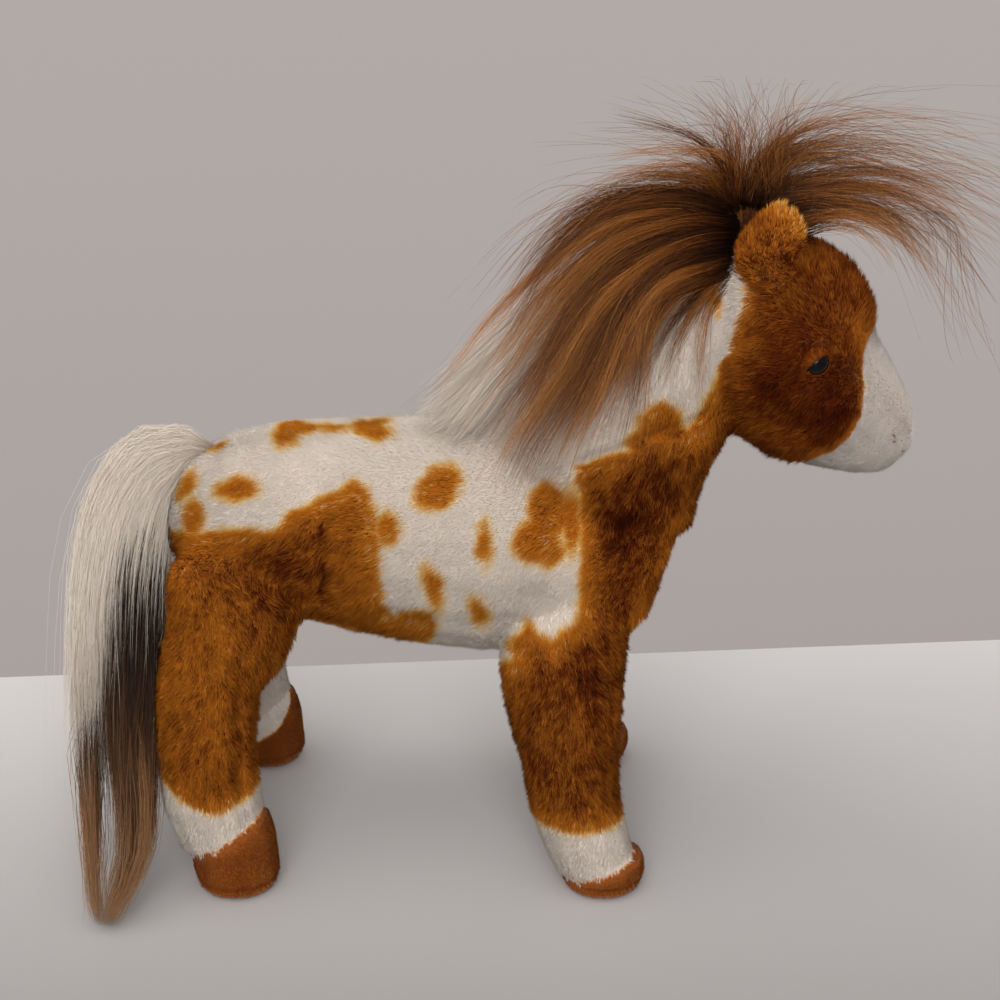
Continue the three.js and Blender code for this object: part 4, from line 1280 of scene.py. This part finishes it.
def tail_hairs(count, start, finish, end, outer_end, wide, clumps, gather, loose=1.0, side_of=0.0,
               parting=0.0, uneven=0.045):
    """Hairs rooted along the tail between two shares of its guide, which run down it and draw into locks.

    End is the share at which those next to the legs stop, and outer_end those on the far side of the tail.
    Side_of keeps their roots on the side next to the legs where it is above zero, and parting opens a gap
    between the locks of the two sides.
    """
    line = curve_points(TAIL_GUIDE, 100)
    side, over = curve_frame(line)
    half = np.interp(np.linspace(0, 1, 100), *zip(*TAIL_HALF_WIDTHS))
    root = rng.uniform(start, finish, count)
    angle = rng.uniform(0, 2 * math.pi, count)
    far = np.sqrt(rng.random(count))
    own = np.stack([np.cos(angle) * far, np.sin(angle) * far], -1)
    own[:, 1] = own[:, 1] * (1 - 0.5 * abs(side_of)) + 0.5 * side_of
    lock_angle = rng.uniform(0, 2 * math.pi, clumps)
    lock_far = np.sqrt(rng.random(clumps))
    places = np.stack([np.cos(lock_angle) * lock_far, np.sin(lock_angle) * lock_far], -1)
    nearest = ((own[:, None] - places[None]) ** 2).sum(-1).argmin(1)
    from_gap = places[:, 1] + 0.3
    places[:, 1] += parting * np.sign(from_gap) * np.exp(-(from_gap / 0.5) ** 2)
    longer = rng.uniform(-0.12, 0.05, clumps)[nearest] * gather
    reach = np.interp(own[:, 1], [-0.45, 0.25], [outer_end, end]) + longer
    stop = np.clip(reach + rng.normal(size=count) * uneven, root + 0.08, 1.0)
    t = root[:, None] + (stop - root)[:, None] * np.linspace(0, 1, 9)[None, :]
    middle, low = between_points(line, t)
    tied = places[nearest][:, None, :]
    pull = smooth(t, 0.4, 0.95)[..., None] * gather
    open_out = (0.35 + 0.65 * smooth(t - root[:, None], 0, 0.12))[..., None]
    place = own[:, None, :] * open_out * (1 - pull) + tied * pull
    reach = half[low] * wide
    drift = rng.normal(size=(count, 1, 2)) * (t - root[:, None])[..., None] * 3.0 * loose
    phase = rng.uniform(0, 2 * math.pi, (count, 1))
    bend = np.sin(phase + 9 * t) * loose * smooth(t - root[:, None], 0, 0.3)
    a = place[..., 0] * reach * 0.85 + drift[..., 0] + bend * 0.8
    b = place[..., 1] * reach + drift[..., 1] + bend * 0.6
    return middle + side[low] * a[..., None] + over[low] * b[..., None]


# Tail: cream at the root, dark below it, and a parted brush at the end
cream = np.concatenate([
    tail_hairs(hair_count(11800), start=0.0, finish=0.22, end=0.41, outer_end=0.66, wide=1.0, clumps=220,
               gather=0.05),
    tail_hairs(hair_count(900), start=0.02, finish=0.22, end=0.5, outer_end=0.78, wide=1.08, clumps=90,
               gather=0.05, loose=2.6),
])
grow_hair("tail_cream", lifted(cream, clear=1.2, start=4), rng.beta(3.0, 1.6, len(cream)), 0.1, CREAM_HAIR,
          ["tail"], taper=0.25)
dark = tail_hairs(hair_count(4600), start=0.2, finish=0.48, end=0.78, outer_end=0.72, wide=0.96, clumps=14,
                  gather=0.85, loose=1.3, side_of=0.3, parting=0.35, uneven=0.06)
dark = lifted(dark, clear=1.0, start=4)
grow_hair("tail_dark", dark, rng.beta(1.0, 14.0, len(dark)), 0.13, TAIL_HAIR)
brush = np.concatenate([
    tail_hairs(hair_count(1500), start=0.56, finish=0.73, end=0.96, outer_end=0.93, wide=1.05, clumps=9,
               gather=0.97, loose=1.6, parting=0.4, uneven=0.08),
    tail_hairs(hair_count(320), start=0.55, finish=0.73, end=0.97, outer_end=1.0, wide=1.2, clumps=12,
               gather=0.5, loose=2.6, parting=0.3),
])
grow_hair("tail_brush", brush, rng.beta(3.2, 1.3, len(brush)), 0.12, TAIL_HAIR)


# White hair along the neck's crest
CREST_GUIDES = [
    [(52, 2, 270), (38, 1, 270), (22, 0, 264), (4, -2, 252), (-14, -3, 236), (-32, -4, 219), (-48, -4, 205)],
    [(40, 1, 261), (28, -4, 258), (12, -8, 248), (-6, -10, 233), (-22, -12, 217), (-38, -12, 204)],
    [(26, 0, 250), (12, -9, 244), (-4, -15, 231), (-17, -19, 217), (-30, -21, 203)],
    [(10, 0, 238), (-2, -12, 230), (-14, -20, 218), (-24, -25, 205), (-34, -28, 194)],
    [(-4, 0, 228), (-14, -10, 221), (-25, -17, 210), (-36, -20, 199)],
    [(-16, 0, 218), (-28, -6, 212), (-40, -9, 204), (-52, -10, 199)],
]
CREST_LOCKS = [12, 12, 10, 8, 6, 5]
crest, crest_tones = locks_along(
    CREST_GUIDES, CREST_LOCKS, hairs=70, spread=4.5, jitter=(2.5, 3.0, 1.6), droop=4, gather=0.1, steps=8,
    short=0.3, tone=(5.0, 1.6))
far_crest = crest[::2] * [1, -1, 1]
crest = lifted(np.concatenate([crest, far_crest]), clear=1.5, start=2)
grow_hair("crest_hair", crest, np.append(crest_tones, crest_tones[::2]), 0.1, CREAM_HAIR)


def wisps(guides, count, spread, longer=1.0):
    """Single stray hairs that leave a lock."""
    out = []
    for _ in range(hair_count(count)):
        guide = between(guides, rng.uniform(0, len(guides) - 1))
        share = np.linspace(0, 1, 9)[:, None]
        drift = rng.normal(size=3) * spread * share ** 1.4
        drift = drift + rng.normal(size=3) * spread * 0.35 * np.sin(share * 5)
        grown = guide[0] + (guide - guide[0]) * rng.uniform(0.7, 1.1) * longer
        out.append(curve_points(grown + drift + rng.normal(size=3) * 1.8, 14))
    return np.array(out)


# Stray hairs, and a few that hang over the brow
stray = np.concatenate([
    wisps(MANE_GUIDES[:9], 420, (9, 5, 11)),
    wisps(FORELOCK_GUIDES, 330, (9, 12, 12), 1.08),
    wisps(POLL_GUIDES, 220, (12, 9, 6), 1.15),
])
stray = lifted(stray, clear=1.5, start=3)
grow_hair("stray_hair", stray, rng.beta(1.2, 1.8, len(stray)), 0.075, MANE_HAIR, taper=0.6)
FALLING_GUIDES = [
    [(176, -12, 296), (186, -14, 290), (190, -15, 272), (193, -16, 252), (200, -17, 236)],
    [(168, -12, 300), (176, -14, 292), (181, -16, 272), (190, -18, 250), (201, -20, 232)],
]
loose = lifted(wisps(FALLING_GUIDES, 16, (7, 10, 6)), clear=1.5, start=4)
grow_hair("loose_hair", loose, rng.beta(2.0, 2.0, len(loose)), 0.08, MANE_HAIR, taper=0.7)

# Hair that covers the seam between mane and forelock
CROWN_GUIDES = [
    [(104, 0, 286), (106, 3, 296), (107, 6, 305), (109, 8, 312)],
    [(97, 0, 286), (97, 3, 297), (94, 7, 305), (88, 11, 309)],
    [(90, 0, 285), (88, 4, 296), (84, 9, 302), (78, 14, 302)],
    [(84, 2, 283), (81, 8, 291), (76, 14, 293), (68, 20, 286)],
    [(76, 3, 278), (70, 10, 284), (62, 17, 280), (54, 23, 268)],
]
CROWN_LOCKS = [5, 7, 8, 8, 7]
crown, crown_tones = locks_along(
    CROWN_GUIDES, CROWN_LOCKS, hairs=50, spread=4.5, jitter=(3.0, 3.0, 3.0), droop=3, gather=0.3, steps=8,
    loose=2.0, short=0.4, tone=(0.9, 1.6))
grow_hair("crown_hair", lifted(crown, clear=1.2, start=3), crown_tones, 0.1, MANE_HAIR)


# Eyes, nose and mouth

EYE_RADIUS = 5.25
DOME_FOOT = 0.8
DOME_HEIGHT = 4.2
EYE_MIDDLE_DEPTH = 7.8
EYE_TURN = np.array([0.24, 0.0, -0.12])
LID_OPENING = (5.6, 3.1)
# Rim, flange and stem of an eye: radius, height
EYE_BACK = [(5.45, 0.5), (5.45, 0.1), (5.2, -0.2), (2.0, -0.4), (1.8, -1.0), (1.8, -9.0), (0.001, -9.0)]


def turned(profile, place, axis, steps=48):
    """A surface turned about an axis through a place. The profile is radius and height."""
    side = unit(np.cross(axis, [0.2, 0.1, 1.0]))
    over = np.cross(axis, side)
    angle = np.linspace(0, 2 * math.pi, steps, endpoint=False)
    rings = [place + axis * h + r * (np.cos(angle)[:, None] * side + np.sin(angle)[:, None] * over)
             for r, h in profile[1:]]
    points = np.vstack([place + axis * profile[0][1]] + rings)
    faces, sizes = [], []
    for j in range(steps):
        nxt = (j + 1) % steps
        faces += [0, 1 + j, 1 + nxt]
        sizes.append(3)
        for k in range(len(rings) - 1):
            base = 1 + k * steps
            faces += [base + j, base + steps + j, base + steps + nxt, base + nxt]
            sizes.append(4)
    return points, np.array(faces), np.array(sizes)


EYE_PLASTIC = plain_material("eye_plastic", srgb(4, 4, 5), srgb(9, 8, 8), scale=260, roughness=0.08,
                             specular=0.22)
THREAD = plain_material("stitch_thread", srgb(120, 96, 86), srgb(150, 124, 112), scale=1500,
                        roughness=0.8, specular=0.1)


def dome_height(share):
    """Height of an eye's dome above its flange, at a share of its radius."""
    return DOME_FOOT + DOME_HEIGHT * np.sqrt(np.clip(1 - share ** 2, 0, 1))


def lid_hairs(middle, axis, count):
    """Hairs rooted round an eye that lie over its dome and leave a tilted oval of it open."""
    major = np.array([math.cos(EYE_RISE), 0.0, math.sin(EYE_RISE)])
    major = unit(major - axis * (major @ axis))
    minor = np.cross(axis, major)
    angle = rng.uniform(0, 2 * math.pi, count)[:, None]
    oval = 1 / np.sqrt((np.cos(angle) / LID_OPENING[0]) ** 2 + (np.sin(angle) / LID_OPENING[1]) ** 2)
    opening = oval * rng.uniform(0.95, 1.3, (count, 1))
    root = rng.uniform(5.8, 7.4, (count, 1))
    far = root + (np.minimum(opening, root - 0.4) - root) * np.linspace(0, 1, 6)
    clear = rng.uniform(0.25, 0.9, (count, 1))
    high = (dome_height(far / EYE_RADIUS) + clear) * smooth(root - far, -0.2, 1.2)
    outwards = np.cos(angle)[..., None] * major + np.sin(angle)[..., None] * minor
    return middle + far[..., None] * outwards + high[..., None] * axis


for hand, side in SIDES.items():
    points, _ = node_arrays(f"eye_{hand}")
    far = points[np.argmax(side * points[:, 1])]
    stem = points[np.argmin(side * points[:, 1])]
    axis = unit(unit(far - stem) + EYE_TURN)
    middle = far - unit(far - stem) * EYE_MIDDLE_DEPTH
    dome = [(EYE_RADIUS * math.sin(a), DOME_FOOT + DOME_HEIGHT * math.cos(a))
            for a in np.linspace(0.0, math.pi / 2, 16)]
    points, faces, sizes = turned(dome + EYE_BACK, middle, axis)
    ob = add_object(f"eye_dome_{hand}", mesh_of(f"eye_dome_{hand}", points, faces, sizes), EYE_PLASTIC)
    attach(ob, "root")
    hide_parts(f"eye_{hand}")
    lids = lid_hairs(middle, axis, hair_count(1500))
    lid_width = 0.14 * np.linspace(1, 0.25, 6)[None, :] * rng.uniform(0.8, 1.2, (len(lids), 1))
    add_strands(f"eye_lid_{hand}", lids, lid_width, rng.normal(0.72, 0.07, len(lids)), PILE)


def thread(name, places, radius):
    """A short stitch that lies on the cloth, thick in the middle and drawn in at its ends."""
    line = curve_points(places, 9)
    line = np.array([np.array(SURFACE.find_nearest(Vector(p))[0]) for p in line.tolist()])
    tangent = unit(np.gradient(line, axis=0))
    side = unit(np.cross(tangent, [0.3, 1.0, 0.2]))
    over = np.cross(tangent, side)
    thick = radius * np.sin(np.linspace(0.25, math.pi - 0.25, 9)) + 0.05
    angle = np.linspace(0, 2 * math.pi, 8, endpoint=False)
    rings = [c + r * (np.cos(angle)[:, None] * a + np.sin(angle)[:, None] * b)
             for c, r, a, b in zip(line, thick, side, over)]
    points = np.vstack(rings + [line[:1], line[-1:]])
    faces, sizes = [], []
    for j in range(8):
        k = (j + 1) % 8
        for r in range(8):
            faces += [r * 8 + j, r * 8 + k, r * 8 + 8 + k, r * 8 + 8 + j]
            sizes.append(4)
        faces += [72, k, j, 73, 64 + j, 64 + k]
        sizes += [3, 3]
    ob = add_object(name, mesh_of(name, points, np.array(faces), np.array(sizes)), THREAD)
    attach(ob, "root")


# Stitches on each side: name, places, radius
STITCHES = [
    ("nostril_stitch", [(161.0, 21, 203.2), (162.4, 21, 202.4), (163.6, 21, 201.0)], 0.35),
    ("nostril_end", [(162.0, 21, 199.6), (163.0, 20.5, 199.2), (163.9, 20, 199.9)], 0.35),
    ("mouth_stitch", [(167.0, 16.5, 194.2), (168.4, 16, 193.0), (170.0, 15, 192.6)], 0.22),
]
for hand, side in SIDES.items():
    for name, places, radius in STITCHES:
        thread(f"{name}_{hand}", [(x, side * y, z) for x, y, z in places], radius)


# Studio

# Floor colours near the front and towards the wall: painted light, much darker in front
FLOOR_NEAR = (0.275, 0.265, 0.262, 1)
FLOOR_FAR = (0.88, 0.87, 0.87, 1)
FLOOR_HALF = 3000.0
WALL_TOP = 2500.0
WALL_ENDS = [(-FLOOR_HALF, -82.5), (FLOOR_HALF, 415.7)]
# Wall colours by height: painted light that the wall glows with, darker towards the floor
WALL_COLOURS = [(0.0, srgb(170, 161, 158)), (0.5, srgb(176, 169, 165)), (1.0, srgb(180, 175, 172))]
WORLD_LIGHT = (0.34, 0.326, 0.315, 1)
WORLD_SEEN = srgb(186, 181, 179)
CAMERA_PLACE = np.array([-8.0, -780.0, 479.0])
CAMERA_LENS = 67.2
scene = bpy.context.scene
scene.view_settings.view_transform = "Standard"


def studio_plane(name, corners, material):
    me = bpy.data.meshes.new(name)
    me.from_pydata([tuple((np.array(c) + SHIFT) * MM) for c in corners], [], [(0, 1, 2, 3)])
    ob = add_object(name, me, material)
    return ob


def along_axis(nodes, links, position, axis, low, high):
    """From 0 at low metres on an axis to 1 at high."""
    split = nodes.new("ShaderNodeSeparateXYZ")
    away = nodes.new("ShaderNodeMapRange")
    away.inputs["From Min"].default_value = low
    away.inputs["From Max"].default_value = high
    links.new(position, split.inputs[0])
    links.new(split.outputs[axis], away.inputs["Value"])
    return away.outputs[0]


def floor_material():
    """Pale board with painted light: lighter towards the wall."""
    m, nodes, links, shader = new_material("floor", roughness=0.6, sheen=0.0, specular=0.15)
    position = nodes.new("ShaderNodeNewGeometry").outputs["Position"]
    away = along_axis(nodes, links, position, "Y", -0.25, 0.25)
    colour = ramp(nodes, links, away, [(0.0, FLOOR_NEAR), (1.0, FLOOR_FAR)])
    speck = specks(nodes, links, position, 3, 2)
    cloud = ramp(nodes, links, speck, [(0.3, (0.97, 0.97, 0.97, 1)), (0.7, (1, 1, 1, 1))])
    links.new(mixed(nodes, links, "MULTIPLY", 1.0, colour, cloud), shader.inputs["Base Color"])
    return m


def wall_material():
    """Seen from its front only, so that other views look past it. It glows with painted light instead of
    being lit.
    """
    m = bpy.data.materials.new("wall")
    m.use_nodes = True
    nodes, links = m.node_tree.nodes, m.node_tree.links
    nodes.clear()
    out = nodes.new("ShaderNodeOutputMaterial")
    mix = nodes.new("ShaderNodeMixShader")
    clear = nodes.new("ShaderNodeBsdfTransparent")
    glow = nodes.new("ShaderNodeEmission")
    geometry = nodes.new("ShaderNodeNewGeometry")
    height = along_axis(nodes, links, geometry.outputs["Position"], "Z", 0.0, 0.6)
    links.new(ramp(nodes, links, height, WALL_COLOURS), glow.inputs["Color"])
    links.new(geometry.outputs["Backfacing"], mix.inputs[0])
    links.new(glow.outputs[0], mix.inputs[1])
    links.new(clear.outputs[0], mix.inputs[2])
    links.new(mix.outputs[0], out.inputs["Surface"])
    return m


floor_corners = [(x * FLOOR_HALF, y * FLOOR_HALF, 0) for x, y in ((-1, -1), (1, -1), (1, 1), (-1, 1))]
studio_plane("floor", floor_corners, floor_material())
wall_corners = [(*WALL_ENDS[0], 0), (*WALL_ENDS[1], 0), (*WALL_ENDS[1], WALL_TOP), (*WALL_ENDS[0], WALL_TOP)]
wall = studio_plane("wall", wall_corners, wall_material())
wall.visible_diffuse = wall.visible_glossy = wall.visible_shadow = wall.visible_transmission = False


def lamp(name, place, target, size, watts, colour):
    """A round soft lamp. Places and size are metres."""
    data = bpy.data.lights.new(name, "AREA")
    data.shape = "DISK"
    data.size = size
    data.energy = watts
    data.color = colour
    ob = bpy.data.objects.new(name, data)
    scene.collection.objects.link(ob)
    ob.location = Vector(place)
    ob.rotation_mode = "QUATERNION"
    ob.rotation_quaternion = (Vector(target) - Vector(place)).to_track_quat("-Z", "Y")


lamp("key", (-0.35, -0.3, 1.75), target=(0, 0, 0.1), size=1.8, watts=14, colour=(1.0, 0.965, 0.93))
lamp("fill", (-0.1, -1.7, 0.9), target=(0, 0, 0.14), size=1.4, watts=26.5, colour=(1.0, 0.97, 0.95))
world = bpy.data.worlds.new("studio")
scene.world = world
world.use_nodes = True
nodes, links = world.node_tree.nodes, world.node_tree.links
seen = nodes.new("ShaderNodeLightPath").outputs["Is Camera Ray"]
links.new(mixed(nodes, links, "MIX", seen, WORLD_LIGHT, WORLD_SEEN), nodes["Background"].inputs["Color"])
nodes["Background"].inputs["Strength"].default_value = 1.0

camera = bpy.data.cameras.new("camera")
camera.sensor_width = 36
camera.lens = CAMERA_LENS
camera_object = bpy.data.objects.new("camera", camera)
scene.collection.objects.link(camera_object)
camera_object.location = Vector(tuple((CAMERA_PLACE + SHIFT) * MM))
camera_object.rotation_euler = (math.radians(90) - VIEW_TILT, 0, 0)
scene.camera = camera_object
